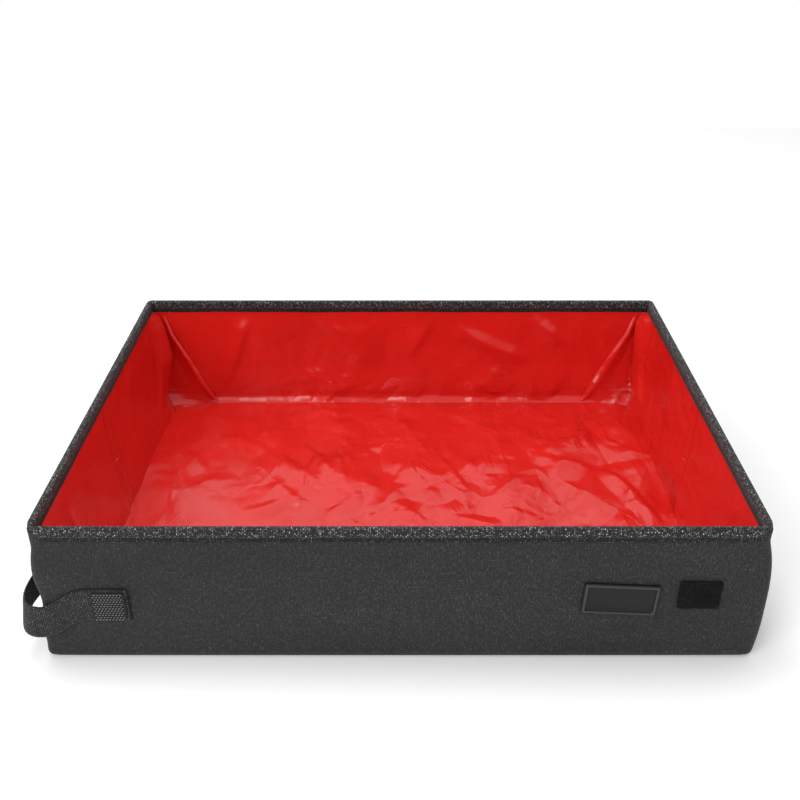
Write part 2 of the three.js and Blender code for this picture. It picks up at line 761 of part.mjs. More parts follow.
// The loop patch on the right of the front, which the hooks meet when the pack is folded in half.
function addLoopPatch() {
  const patch = uprightPlate(loopPatchLength, loopPatchHeight, patchCornerRadius, patchThickness);
  const mesh = piece("loop_patch", patch, materials.loop);
  mesh.position.set(
    panelHalfLength - loopPatchFromEnd,
    -panelHalfDepth - layerGap,
    wallMiddle + loopPatchRise,
  );
}

// The bare rubber plate with a raised rim, sewn on a little crooked.
function addPlate() {
  const plate = uprightPlate(
    plateLength,
    plateHeight,
    plateCornerRadius,
    plateThickness + plateRimRise,
  );
  const field = uprightPlate(
    plateLength - 2 * plateRimWidth,
    plateHeight - 2 * plateRimWidth,
    plateCornerRadius,
    plateRimRise + cutOverrun,
  ).translate(0, -plateThickness, 0);
  const framed = geometryOf(solidOf(plate).subtract(solidOf(field)));
  const mesh = piece("label_plate", framed, materials.rubber);
  mesh.position.set(
    panelHalfLength - plateFromEnd,
    -panelHalfDepth - layerGap,
    wallMiddle - plateDrop,
  );
  mesh.rotation.y = -plateTilt;
}

addBase();
addFloorLiner();
addLongWalls();
addEndWalls();
addHandle();
addHookPatch();
addLoopPatch();
addPlate();

export default box;
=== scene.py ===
"""Looks of a foldable travel litter box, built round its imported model.

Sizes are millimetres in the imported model's frame: +Z up, the front towards -Y, the origin on the
ground under the middle of the box. A mesh is scaled to metres when it is made. The ring that the
walls form is walked by its run: millimetres along it, from the middle of the front to the right.
"""

import logging
import math
from dataclasses import dataclass, field
from enum import Enum
from typing import Callable, Sequence

import bpy
import numpy as np
from mathutils import Euler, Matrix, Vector
from mathutils.geometry import delaunay_2d_cdt


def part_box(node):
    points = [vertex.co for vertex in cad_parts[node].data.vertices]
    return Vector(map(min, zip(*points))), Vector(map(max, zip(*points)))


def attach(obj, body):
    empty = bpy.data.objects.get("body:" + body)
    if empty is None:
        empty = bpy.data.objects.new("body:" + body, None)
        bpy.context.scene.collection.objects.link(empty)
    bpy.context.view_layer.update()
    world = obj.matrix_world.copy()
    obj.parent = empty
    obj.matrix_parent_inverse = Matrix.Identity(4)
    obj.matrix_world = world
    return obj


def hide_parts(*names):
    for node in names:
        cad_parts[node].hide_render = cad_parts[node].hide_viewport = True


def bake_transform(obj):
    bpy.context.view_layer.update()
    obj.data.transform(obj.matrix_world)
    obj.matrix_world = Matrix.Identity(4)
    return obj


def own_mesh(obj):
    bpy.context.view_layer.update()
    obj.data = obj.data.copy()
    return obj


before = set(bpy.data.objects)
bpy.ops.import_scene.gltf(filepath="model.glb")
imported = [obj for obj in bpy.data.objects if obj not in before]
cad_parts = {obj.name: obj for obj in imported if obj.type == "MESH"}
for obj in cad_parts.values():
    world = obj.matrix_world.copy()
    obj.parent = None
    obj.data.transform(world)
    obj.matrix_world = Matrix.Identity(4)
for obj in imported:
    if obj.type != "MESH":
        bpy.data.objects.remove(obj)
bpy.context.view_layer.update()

logging.basicConfig(level=logging.INFO, format="%(name)s: %(message)s")
log = logging.getLogger("litter_box")

METRES = 0.001
Point = tuple[float, float, float]
Flat = tuple[float, float]
Array = np.ndarray


class Body(Enum):
    """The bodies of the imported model."""

    BACK = "back_wall"
    FRONT = "front_wall"
    LEFT_REAR = "left_rear_wall"
    LEFT_FRONT = "left_front_wall"
    RIGHT_REAR = "right_rear_wall"
    RIGHT_FRONT = "right_front_wall"


class Slot(Enum):
    """The record's material slots."""

    OXFORD = "oxford"
    TAPE = "tape"
    FILM = "film"
    WEBBING = "webbing"
    HOOK = "hook"
    LOOP = "loop"
    RUBBER = "rubber"


# The floor's film is calm at the left and grows uneven between these two places along X.
CALM_UNTIL = (-115.0, -60.0)


@dataclass(frozen=True)
class BoxSizes:
    """The sizes that several pieces share, in millimetres."""

    length: float = 400.0
    depth: float = 300.0
    height: float = 92.0
    cloth_inset: float = 0.8
    rim_thickness: float = 4.0
    tape_drop: float = 10.0
    corner_cut: float = 141.2
    crease_reach: float = 6.0
    blend_reach: float = 10.0
    base_keep: float = 0.036

    @property
    def half_x(self) -> float:
        """Half the box's length over the tape."""
        return self.length / 2

    @property
    def half_y(self) -> float:
        """Half the box's depth over the tape."""
        return self.depth / 2

    @property
    def tape_foot(self) -> float:
        """The height of the tape's lower edge."""
        return self.height - self.tape_drop


SIZES = BoxSizes()


# ---------------------------------------------------------------- meshes


def smoothstep(low: float, high: float, value: Array | float) -> Array:
    """Rises smoothly from 0 to 1.

    Args:
        low: Where the rise starts.
        high: Where it ends.
        value: The places to look at.

    Returns:
        The share of the rise at each place.
    """
    share = np.clip((np.asarray(value, float) - low) / (high - low), 0.0, 1.0)
    return share * share * (3 - 2 * share)


def grid_faces(columns: int, rows: int) -> list[tuple[int, ...]]:
    """The quads of a grid of points, stored column by column.

    Args:
        columns: Points along the grid's first way.
        rows: Points along its second way.

    Returns:
        Faces whose front looks along the first way crossed with the second.
    """
    corner = (np.arange(columns - 1)[:, None] * rows + np.arange(rows - 1)[None, :]).ravel()
    quads = np.stack([corner, corner + rows, corner + rows + 1, corner + 1], axis=1)
    return [tuple(quad) for quad in quads.tolist()]


def tube_faces(rings: int, around: int) -> list[tuple[int, ...]]:
    """The faces of a tube of rings of points, closed at both ends.

    Args:
        rings: The number of rings.
        around: The points of each ring.

    Returns:
        The quads ring by ring, and the two end faces.
    """
    faces = []
    for low in range(0, (rings - 1) * around, around):
        high = low + around
        turn = [(j, (j + 1) % around) for j in range(around)]
        faces += [(low + j, low + k, high + k, high + j) for j, k in turn]
    last = (rings - 1) * around
    return [*faces, tuple(range(around - 1, -1, -1)), tuple(range(last, last + around))]


def linked(name: str, data: bpy.types.ID) -> bpy.types.Object:
    """Makes an object and puts it into the scene.

    Args:
        name: Its name.
        data: Its mesh, lamp or camera.

    Returns:
        The object.
    """
    made = bpy.data.objects.new(name, data)
    bpy.context.scene.collection.objects.link(made)
    return made


def new_object(name: str, points: Array, faces: Sequence[Sequence[int]], uv: Array | None = None,
               edges: Sequence[tuple[int, int]] = ()) -> bpy.types.Object:
    """Makes a smooth-shaded mesh object at the origin.

    Args:
        name: The piece's name.
        points: Its points in millimetres, three numbers each.
        faces: Its faces.
        uv: The place of each point on the cloth, in millimetres, for materials that follow it.
        edges: Its loose edges, for a path.

    Returns:
        The linked object.
    """
    mesh = bpy.data.meshes.new(name)
    mesh.from_pydata((points.reshape(-1, 3) * METRES).tolist(), list(edges), list(faces))
    if uv is not None:
        layer = mesh.uv_layers.new(name="cloth")
        corners = np.empty(len(mesh.loops), dtype=np.int32)
        mesh.loops.foreach_get("vertex_index", corners)
        layer.data.foreach_set("uv", uv.reshape(-1, 2)[corners].astype(np.float32).ravel())
    mesh.shade_smooth()
    mesh.update()
    return linked(name, mesh)


def thicken(piece: bpy.types.Object, thickness: float) -> None:
    """Gives a one-sided piece its thickness, inwards from its face.

    Args:
        piece: The piece.
        thickness: Its thickness in millimetres.
    """
    solid = piece.modifiers.new("thickness", "SOLIDIFY")
    solid.thickness = thickness * METRES
    solid.offset = -1.0


def dress(piece: bpy.types.Object, material: bpy.types.Material) -> None:
    """Puts a material on a piece.

    Args:
        piece: The piece.
        material: Its only material.
    """
    piece.data.materials.clear()
    piece.data.materials.append(material)


def metres(*point: float) -> Point:
    """A point in millimetres as one in metres."""
    return tuple(value * METRES for value in point)


def walked(line: Array) -> Array:
    """The distance from a line's start to each of its points."""
    return np.concatenate([[0.0], np.cumsum(np.linalg.norm(np.diff(line, axis=0), axis=1))])


def cloth_map(along: Array, across: Array) -> Array:
    """The places of a grid of points on its cloth.

    Args:
        along: The place of each column along the cloth.
        across: The place of each row across it.

    Returns:
        Two numbers for each point, by column and row.
    """
    return np.stack(np.broadcast_arrays(along[:, None], across[None, :]), axis=-1)


@dataclass(frozen=True)
class Ring:
    """A rounded rectangle round the box's middle, seen from above."""

    half_x: float
    half_y: float
    radius: float
    arc_steps: int = 10

    @property
    def whole(self) -> float:
        """The ring's whole length."""
        return float(self.outline()[0][-1])

    def outline(self) -> tuple[Array, Array, Array]:
        """The ring's corner points.

        Returns:
            The runs, places and outward directions of its points, from the middle of the front
            round to the right and back to where it started.
        """
        places: list[Flat] = [(0.0, -self.half_y)]
        outward: list[Flat] = [(0.0, -1.0)]
        quarter = math.pi / 2
        centres = [(1, -1), (1, 1), (-1, 1), (-1, -1)]
        for corner, (sign_x, sign_y) in enumerate(centres):
            for step in range(self.arc_steps + 1):
                turn = quarter * (corner - 1 + step / self.arc_steps)
                away = (math.cos(turn), math.sin(turn))
                places.append((
                    sign_x * (self.half_x - self.radius) + self.radius * away[0],
                    sign_y * (self.half_y - self.radius) + self.radius * away[1],
                ))
                outward.append(away)
        places.append(places[0])
        outward.append(outward[0])
        spots = np.array(places)
        return walked(spots), spots, np.array(outward)

    def run_of(self, x: float, y: float) -> float:
        """The run of the ring's point nearest to a place.

        Args:
            x: The place.
            y: The place.

        Returns:
            The run, from 0 up to the ring's whole length.
        """
        runs, spots, _ = self.outline()
        start, along = spots[:-1], np.diff(spots, axis=0)
        squares = np.maximum((along * along).sum(1), 1e-12)
        share = np.clip((((x, y) - start) * along).sum(1) / squares, 0.0, 1.0)
        near = start + along * share[:, None]
        best = int(np.argmin(np.linalg.norm(near - (x, y), axis=1)))
        return float(runs[best] + share[best] * (runs[best + 1] - runs[best]))

    def at(self, runs: Array) -> tuple[Array, Array]:
        """The places and outward directions at some runs, which wrap round the ring.

        Args:
            runs: The runs.

        Returns:
            Two arrays with two numbers a point.
        """
        known, spots, outward = self.outline()
        inside = np.mod(runs, known[-1])
        place = np.stack([np.interp(inside, known, spots[:, k]) for k in range(2)], axis=1)
        away = np.stack([np.interp(inside, known, outward[:, k]) for k in range(2)], axis=1)
        return place, away / np.linalg.norm(away, axis=1)[:, None]

    def stations(self, start: float, end: float, step: float, fine: float) -> Array:
        """Runs from one cut to another, closer together round the corners.

        Args:
            start: The first run.
            end: The last run, past the ring's length where the piece goes over its start.
            step: The distance between two stations on a straight.
            fine: The distance between two stations round a corner.

        Returns:
            The runs in order.
        """
        known, whole = self.outline()[0], self.whole
        runs = set(np.linspace(start, end, max(2, int(round((end - start) / step)) + 1)).tolist())
        for corner in range(4):
            first = known[1 + corner * (self.arc_steps + 1)]
            last = known[(corner + 1) * (self.arc_steps + 1)]
            for lap in (-whole, 0.0, whole):
                steps = max(2, int((last - first + 2 * self.radius) / fine))
                near = np.linspace(first - self.radius, last + self.radius, steps) + lap
                runs.update(near[(near > start) & (near < end)].tolist())
        ordered = np.array(sorted(runs))
        keep = np.concatenate([[True], np.diff(ordered) > 0.25 * fine])
        keep[-1] = True
        return ordered[keep]


@dataclass(frozen=True)
class WallCut:
    """One length of the walls' ring, on one body or spanning two."""

    name: str
    body: Body
    start: Flat
    end: Flat
    bends_from: Body | None = None
    bend_start: Flat = (0.0, 0.0)
    bend_end: Flat = (0.0, 0.0)
    nodes: tuple[str, ...] = ()

    def boards(self) -> list[str]:
        """The boards behind this length.

        Returns:
            The names of their nodes.
        """
        if self.name in ("front", "back"):
            return [f"{self.name}_board_left", f"{self.name}_board_right"]
        end = self.name.split("_")[0]
        halves = self.nodes or (f"{end}_front", f"{end}_rear")
        return [f"{half}_board" for half in halves]


def wall_cuts(half_x: float, corner: float) -> list[WallCut]:
    """The eight lengths into which cloth and tape are cut, so that each crosses one joint at most.

    Args:
        half_x: The ring's half length.
        corner: The distance of the corner cuts from the middle, along Y.

    Returns:
        The cuts, in order round the ring.
    """
    crease, bend = SIZES.crease_reach, SIZES.blend_reach
    return [
        WallCut("front", Body.FRONT, (-half_x, -corner), (half_x, -corner), nodes=("front",)),
        WallCut("right_front", Body.RIGHT_FRONT, (half_x, -corner), (half_x, -crease),
                nodes=("right_front",)),
        WallCut("right_crease", Body.RIGHT_FRONT, (half_x, -crease), (half_x, crease),
                Body.RIGHT_REAR, (half_x, crease), (half_x, -crease)),
        WallCut("right_rear", Body.RIGHT_REAR, (half_x, crease), (half_x, corner),
                Body.BACK, (half_x, corner), (half_x, corner - bend), nodes=("right_rear",)),
        WallCut("back", Body.BACK, (half_x, corner), (-half_x, corner), nodes=("back",)),
        WallCut("left_rear", Body.LEFT_REAR, (-half_x, corner), (-half_x, crease),
                Body.BACK, (-half_x, corner), (-half_x, corner - bend), nodes=("left_rear",)),
        WallCut("left_crease", Body.LEFT_FRONT, (-half_x, crease), (-half_x, -crease),
                Body.LEFT_REAR, (-half_x, crease), (-half_x, -crease)),
        WallCut("left_front", Body.LEFT_FRONT, (-half_x, -crease), (-half_x, -corner),
                Body.FRONT, (-half_x, -corner), (-half_x, bend - corner), nodes=("left_front",)),
    ]


def carry(piece: bpy.types.Object, cut: WallCut) -> None:
    """Lets a piece of the ring ride on its body, or, where it spans two, bakes its place into its
    mesh.

    Args:
        piece: The piece.
        cut: The length of the ring that it covers.
    """
    if cut.bends_from is None:
        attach(piece, cut.body.value)
        return
    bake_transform(piece)


# ---------------------------------------------------------------- shader trees


Socket = bpy.types.NodeSocket
Sockets = bpy.types.bpy_prop_collection
FLOAT, VECTOR = "NodeSocketFloat", "NodeSocketVector"


class Wiring:
    """Places and links the nodes of one tree."""

    def __init__(self, tree: bpy.types.NodeTree) -> None:
        """Keeps the tree that the nodes go into."""
        self.tree = tree

    def feed(self, inputs: Sockets, values: dict[str | int, object]) -> None:
        """Links a node's inputs to other sockets, or sets them to plain values.

        Args:
            inputs: The node's inputs.
            values: What they take, by name or number; None leaves an input as it is.
        """
        for key, value in values.items():
            if isinstance(value, bpy.types.NodeSocket):
                self.tree.links.new(value, inputs[key])
            elif value is not None:
                inputs[key].default_value = value

    def node(self, kind: str, values: dict[str | int, object] | None = None,
             **settings: object) -> bpy.types.Node:
        """Adds a node.

        Args:
            kind: Its type.
            values: What its inputs take, by name or number.
            **settings: Its properties.

        Returns:
            The node.
        """
        made = self.tree.nodes.new(kind)
        for name, setting in settings.items():
            setattr(made, name, setting)
        self.feed(made.inputs, values or {})
        return made

    def math(self, operation: str, *values: object) -> Socket:
        """A Math node's result."""
        return self.node("ShaderNodeMath", dict(enumerate(values)), operation=operation).outputs[0]

    def product(self, first: object, *others: object) -> Socket:
        """All values multiplied, from the first on."""
        for other in others:
            first = self.math("MULTIPLY", first, other)
        return first

    def split(self, vector: Socket) -> Sockets:
        """The three numbers of a vector."""
        return self.node("ShaderNodeSeparateXYZ", {0: vector}).outputs

    def join(self, x: object = None, y: object = None, z: object = None) -> Socket:
        """A vector of up to three numbers, the others 0."""
        return self.node("ShaderNodeCombineXYZ", {0: x, 1: y, 2: z}).outputs[0]

    def blend(self, share: object, first: Point, second: Point) -> Socket:
        """A mix of two colours by a share."""
        values = {0: share, 6: (*first, 1.0), 7: (*second, 1.0)}
        return self.node("ShaderNodeMix", values, data_type="RGBA").outputs[2]

    def span(self, value: Socket, low: float, high: float, to_low: float, to_high: float) -> Socket:
        """Maps a value from one range to another, held at its ends."""
        values = dict(enumerate((value, low, high, to_low, to_high)))
        return self.node("ShaderNodeMapRange", values).outputs[0]

    def noise(self, place: Socket, scale: float, detail: float = 2.0, rough: float = 0.5) -> Socket:
        """A noise texture's value at a place."""
        values = {"Vector": place, "Scale": scale, "Detail": detail, "Roughness": rough}
        return self.node("ShaderNodeTexNoise", values).outputs["Fac"]

    def drawn(self, place: Socket, scale: Point, turn: object = None) -> Socket:
        """A place that is turned and drawn out."""
        values = {"Vector": place, "Rotation": turn, "Scale": scale}
        return self.node("ShaderNodeMapping", values).outputs[0]

    def group(self, tree: bpy.types.NodeTree, **values: object) -> Sockets:
        """Places a shared effect.

        Args:
            tree: The effect.
            **values: Its inputs by name, with _ for a space.

        Returns:
            Its outputs.
        """
        named = {name.replace("_", " "): value for name, value in values.items()}
        return self.node("ShaderNodeGroup", named, node_tree=tree).outputs

    def bump(self, height: Socket, distance: float) -> Socket:
        """The normal of a bump of a height in metres."""
        values = {"Strength": 1.0, "Distance": distance, "Height": height}
        return self.node("ShaderNodeBump", values).outputs["Normal"]


def new_group(name: str, inputs: dict[str, str], outputs: Sequence[str]) -> tuple[
    bpy.types.NodeTree, Wiring, Sockets, Sockets
]:
    """Starts a shared shader effect.

    Args:
        name: Its name.
        inputs: Its inputs' names and socket types.
        outputs: Its outputs' names, all of them numbers.

    Returns:
        The tree, a Wiring on it, what it is given and what it puts out.
    """
    tree = bpy.data.node_groups.new(name, "ShaderNodeTree")
    for label, kind in inputs.items():
        tree.interface.new_socket(name=label, in_out="INPUT", socket_type=kind)
    for label in outputs:
        tree.interface.new_socket(name=label, in_out="OUTPUT", socket_type=FLOAT)
    wiring = Wiring(tree)
    given = wiring.node("NodeGroupInput").outputs
    return tree, wiring, given, wiring.node("NodeGroupOutput").inputs


def weave_group() -> bpy.types.NodeTree:
    """A plain weave: threads that pass over and under each other.

    Returns:
        A group that takes a place in millimetres and the two pitches, and puts out the threads'
        height, a mask of the threads that lie on top, and a number for each crossing.
    """
    tree, wiring, given, result = new_group(
        "weave", {"Place": VECTOR, "Pitch Across": FLOAT, "Pitch Along": FLOAT},
        ("Height", "Warp", "Crossing"))
    parts = wiring.split(given["Place"])
    ways = [wiring.math("DIVIDE", parts[0], given["Pitch Across"]),
            wiring.math("DIVIDE", parts[1], given["Pitch Along"])]
    cells = [wiring.math("FLOOR", way) for way in ways]
    crowns = [wiring.math("ABSOLUTE", wiring.math("SINE", wiring.product(way, math.pi)))
              for way in ways]
    over = wiring.math("FLOORED_MODULO", wiring.math("ADD", *cells), 2.0)
    warp = wiring.product(over, crowns[0])
    weft = wiring.product(wiring.math("SUBTRACT", 1.0, over), crowns[1])
    rounding = wiring.math("POWER", wiring.product(*crowns), 0.35)
    chance = wiring.node("ShaderNodeTexWhiteNoise", {"Vector": wiring.join(*cells)},
                         noise_dimensions="2D")
    wiring.feed(result, {"Height": wiring.product(wiring.math("ADD", warp, weft), rounding),
                         "Warp": over, "Crossing": chance.outputs["Value"]})
    return tree


def slubs_group() -> bpy.types.NodeTree:
    """Uneven yarn: lighter lengths of single threads, across where they lie across, else along.

    Returns:
        A group that takes a place in millimetres and the mask of the threads that lie across, and
        puts out how light the yarn is.
    """
    tree, wiring, given, result = new_group("slubs", {"Place": VECTOR, "Warp": FLOAT}, ("Value",))
    lengths = [wiring.noise(wiring.drawn(given["Place"], scale), 1.0, 1.5, 0.6)
               for scale in ((0.35, 1.0, 1.0), (1.0, 0.35, 1.0))]
    both = wiring.node("ShaderNodeMix", {0: given["Warp"], 2: lengths[0], 3: lengths[1]},
                       data_type="FLOAT")
    wiring.feed(result, {"Value": wiring.span(both.outputs[0], 0.44, 0.64, 0.0, 1.0)})
    return tree


def sheen_and_mottle_group() -> bpy.types.NodeTree:
    """Soft patches drawn out on a slant: painted sheen that lightens and darkens woven cloth, and a
    paler mottle on moulded pieces.

    Returns:
        A group that takes a place in metres and an amount, and puts out a value round 1.
    """
    tree, wiring, given, result = new_group(
        "sheen_and_mottle", {"Place": VECTOR, "Amount": FLOAT}, ("Value",))
    drawn = wiring.drawn(given["Place"], (0.6, 1.0, 1.8), (0.0, 0.7, 0.5))
    wide, close = wiring.noise(drawn, 11.0, 2.0), wiring.noise(given["Place"], 90.0, 3.0)
    both = wiring.math("ADD", wiring.product(wide, 0.7), wiring.product(close, 0.3))
    spread = wiring.product(wiring.math("SUBTRACT", both, 0.5), given["Amount"])
    wiring.feed(result, {"Value": wiring.math("ADD", 1.0, spread)})
    return tree


def facets_group() -> bpy.types.NodeTree:
    """Flat facets of crushed film that meet at straight creases.

    Returns:
        A group that takes a place in metres, a turn, the facets for each metre and their slope,
        and puts out a height in metres.
    """
    tree, wiring, given, result = new_group(
        "facets", {"Place": VECTOR, "Turn": VECTOR, "Count": FLOAT, "Slope": FLOAT}, ("Height",))
    turned = wiring.drawn(given["Place"], (1.0, 0.6, 1.0), given["Turn"])
    cells = wiring.node("ShaderNodeTexVoronoi", {"Vector": turned, "Scale": given["Count"]},
                        feature="F1", distance="CHEBYCHEV")
    rise = wiring.math("DIVIDE", cells.outputs["Distance"], given["Count"])
    wiring.feed(result, {"Height": wiring.product(rise, given["Slope"])})
    return tree


WEAVE = weave_group()
FACETS = facets_group()
SHEEN_AND_MOTTLE = sheen_and_mottle_group()
SLUBS = slubs_group()


@dataclass(frozen=True)
class Finish:
    """A material: its name, main colour, roughness and how strongly it reflects."""

    name: str
    colour: Point
    roughness: float
    specular: float = 0.5

    def start(self) -> tuple[bpy.types.Material, Wiring, Socket, Sockets]:
        """Makes the material with its Principled shader.

        Returns:
            The material, a Wiring on its tree, its Object coordinates and the shader's inputs.
        """
        material = bpy.data.materials.new(self.name)
        material.use_nodes = True
        wiring = Wiring(material.node_tree)
        inputs = material.node_tree.nodes["Principled BSDF"].inputs
        wiring.feed(inputs, {"Base Color": (*self.colour, 1.0), "Roughness": self.roughness,
                             "Specular IOR Level": self.specular})
        return material, wiring, wiring.node("ShaderNodeTexCoord").outputs["Object"], inputs


@dataclass(frozen=True)
class WovenFinish(Finish):
    """Woven thread in two tones, with light flecks where single threads catch the light.

    Depth, the height of its relief, is in metres. Flecks is the share of crossings that are
    light, fleck_gain how light; ground is how much of the thread's tone all crowns show, slub how
    uneven the yarn is, and seam the two heights between which the thread is darker, by seam_dark.
    """

    thread: Point = (0.2, 0.2, 0.2)
    pitch_across: float = 0.5
    pitch_along: float = 0.5
    depth: float = 0.00006
    flecks: float = 0.12
    # how strongly soft slanted patches of painted sheen lighten and darken the cloth
    sheen_and_mottle: float = 0.5
    fleck_gain: float = 0.6
    ground: float = 0.2
    slub: float = 1.0
    seam: Flat | None = None
    seam_dark: float = 0.75
    sheen: float = 0.06

    def build(self) -> bpy.types.Material:
        """Builds the material.

        Returns:
            A material that reads the piece's cloth map.
        """
        material, wiring, place, inputs = self.start()
        cloth = wiring.node("ShaderNodeUVMap", uv_map="cloth").outputs["UV"]
        weave = wiring.group(WEAVE, Place=cloth, Pitch_Across=self.pitch_across,
                             Pitch_Along=self.pitch_along)
        sheen_and_mottle = wiring.group(SHEEN_AND_MOTTLE, Place=place, Amount=self.sheen_and_mottle)
        fleck = wiring.span(weave["Crossing"], 1.0 - self.flecks, 1.0, 0.0, 1.0)
        crown = wiring.span(weave["Height"], 0.2, 1.0, 0.0, 1.0)
        slubs = wiring.group(SLUBS, Place=cloth, Warp=weave["Warp"])
        uneven = wiring.span(slubs[0], 0.0, 1.0, 1.0 - self.slub, 1.0)
        across = wiring.span(weave["Warp"], 0.0, 1.0, 0.4, 1.0)
        lit = wiring.product(wiring.product(fleck, crown), wiring.product(uneven, across))
        share = wiring.math("ADD", wiring.product(crown, self.ground),
                            wiring.product(lit, self.fleck_gain))
        # painted sheen: soft slanted patches that lighten and darken the thread's tone
        share = wiring.product(share, sheen_and_mottle[0])
        if self.seam:
            share = wiring.product(share, self.beside_seam(wiring, place))
        share = wiring.math("MINIMUM", share, 1.0)
        rough = wiring.span(weave["Height"], 0.0, 1.0, min(1.0, self.roughness + 0.08),
                            self.roughness - 0.06)
        fuzz = wiring.product(wiring.noise(place, 2600.0, 2.0), 0.5)
        height = wiring.math("ADD", weave["Height"], fuzz)
        wiring.feed(inputs, {
            "Base Color": wiring.blend(share, self.colour, self.thread), "Roughness": rough,
            "Normal": wiring.bump(height, self.depth),
            "Sheen Weight": self.sheen, "Sheen Roughness": 0.5})
        return material

    def beside_seam(self, wiring: Wiring, place: Socket) -> Socket:
        """How light the thread is beside the seam: darker between two heights.

        Args:
            wiring: The material's tree.
            place: The place in metres.

        Returns:
            1 away from the seam, less on it.
        """
        spread = wiring.math("SUBTRACT", wiring.noise(place, 400.0), 0.5)
        level = wiring.math("ADD", wiring.split(place)[2], wiring.product(spread, 0.0016))
        low, high = metres(*self.seam)
        above = wiring.span(level, high - 0.0004, high + 0.0006, 1.0 - self.seam_dark, 1.0)
        below = wiring.span(level, low - 0.0004, low + 0.0004, 1.0, 0.0)
        return wiring.math("MAXIMUM", above, below)


@dataclass(frozen=True)
class FilmFinish(Finish):
    """Soft waterproof film: even colour, semi-gloss, with a fine crinkle.

    Its facets are rows of how many there are for each metre, their slope and their turn. On the
    floor they grow from left_share at the left, and by rear_shares between the two places along Y
    of rear_from; patch_share is what the finer ones keep in calm patches. Bend, how far they are
    bent, and grain, the height of the finest relief, are in metres.
    """

    deep: Point = (0.57, 0.012, 0.009)
    floor_top: float = 12.0
    on_walls: float = 0.38
    left_share: float = 0.35
    rear_from: Flat = (-90.0, 50.0)
    rear_shares: Flat = (0.75, 1.6)
    patch_share: float = 0.15
    bend: float = 0.008
    grain: float = 0.000012
    facets: tuple[Point, ...] = ((20.0, 0.12, 0.6), (46.0, 0.13, -0.9), (110.0, 0.06, 2.2))

    def build(self) -> bpy.types.Material:
        """Builds the material.

        Returns:
            A material on Object coordinates.
        """
        material, wiring, place, inputs = self.start()
        sheen_and_mottle = wiring.span(wiring.noise(place, 22.0, 3.0), 0.3, 0.7, 0.0, 1.0)
        rough = wiring.span(wiring.noise(place, 60.0, 3.0), 0.3, 0.7, self.roughness - 0.05,
                            self.roughness + 0.08)
        wiring.feed(inputs, {"Base Color": wiring.blend(sheen_and_mottle, self.deep, self.colour),
                             "Roughness": rough,
                             "Normal": wiring.bump(self.crush(wiring, place), 1.0)})
        return material

    def crush(self, wiring: Wiring, place: Socket) -> Socket:
        """The film's fine relief: facets in three sizes, more of them on the floor, and a grain.

        Args:
            wiring: The material's tree.
            place: The place in metres.

        Returns:
            A height in metres.
        """
        parts = wiring.split(place)
        low, high = metres(self.floor_top, 3 * self.floor_top)
        floor = wiring.span(parts[2], low, high, 1.0, self.on_walls)
        bend = wiring.node("ShaderNodeTexNoise", {"Vector": place, "Scale": 25.0})
        shift = wiring.node("ShaderNodeVectorMath", {0: bend.outputs["Color"], "Scale": self.bend},
                            operation="SCALE")
        bent = wiring.node("ShaderNodeVectorMath", {0: place, 1: shift.outputs[0]}, operation="ADD")
        patch = wiring.span(wiring.noise(place, 17.0, 1.0), 0.42, 0.6, self.patch_share, 1.0)
        calm = wiring.span(parts[0], *metres(*CALM_UNTIL), self.left_share, 1.0)
        rear = wiring.span(parts[1], *metres(*self.rear_from), *self.rear_shares)
        floor = wiring.product(floor, wiring.product(calm, rear))
        height = None
        for count, slope, turn in self.facets:
            facet = wiring.group(FACETS, Place=bent.outputs[0], Count=count, Slope=slope,
                                 Turn=(0.3 * turn, 0.2 * turn, turn))
            level = wiring.product(facet[0], floor)
            if height is not None:
                level = wiring.math("ADD", height, wiring.product(level, patch))
            height = level
        return wiring.math("ADD", height, wiring.product(wiring.noise(place, 1300.0), self.grain))


@dataclass(frozen=True)
class MouldedFinish(Finish):
    """Moulded rubber or plain sheet: a fine matt grain, its depth in metres, and paler clouds."""

    grain_scale: float = 900.0
    grain_depth: float = 0.00004

    def build(self) -> bpy.types.Material:
        """Builds the material.

        Returns:
            A material on Object coordinates.
        """
        material, wiring, place, inputs = self.start()
        grain = wiring.noise(place, self.grain_scale, 3.0)
        sheen_and_mottle = wiring.product(wiring.group(SHEEN_AND_MOTTLE, Place=place, Amount=0.5)[0], 0.5)
        lighter = tuple(min(1.0, 1.6 * value) for value in self.colour)
        rough = wiring.span(grain, 0.3, 0.7, self.roughness - 0.08, self.roughness + 0.08)
        wiring.feed(inputs, {"Base Color": wiring.blend(sheen_and_mottle, self.colour, lighter),
                             "Roughness": rough, "Normal": wiring.bump(grain, self.grain_depth)})
        return material


def built(finish: WovenFinish | FilmFinish | MouldedFinish) -> bpy.types.Material:
    """A field that holds the material of a finish.

    Args:
        finish: The finish.

    Returns:
        The field, whose material is built when the dataclass is made.
    """
    return field(default_factory=finish.build)


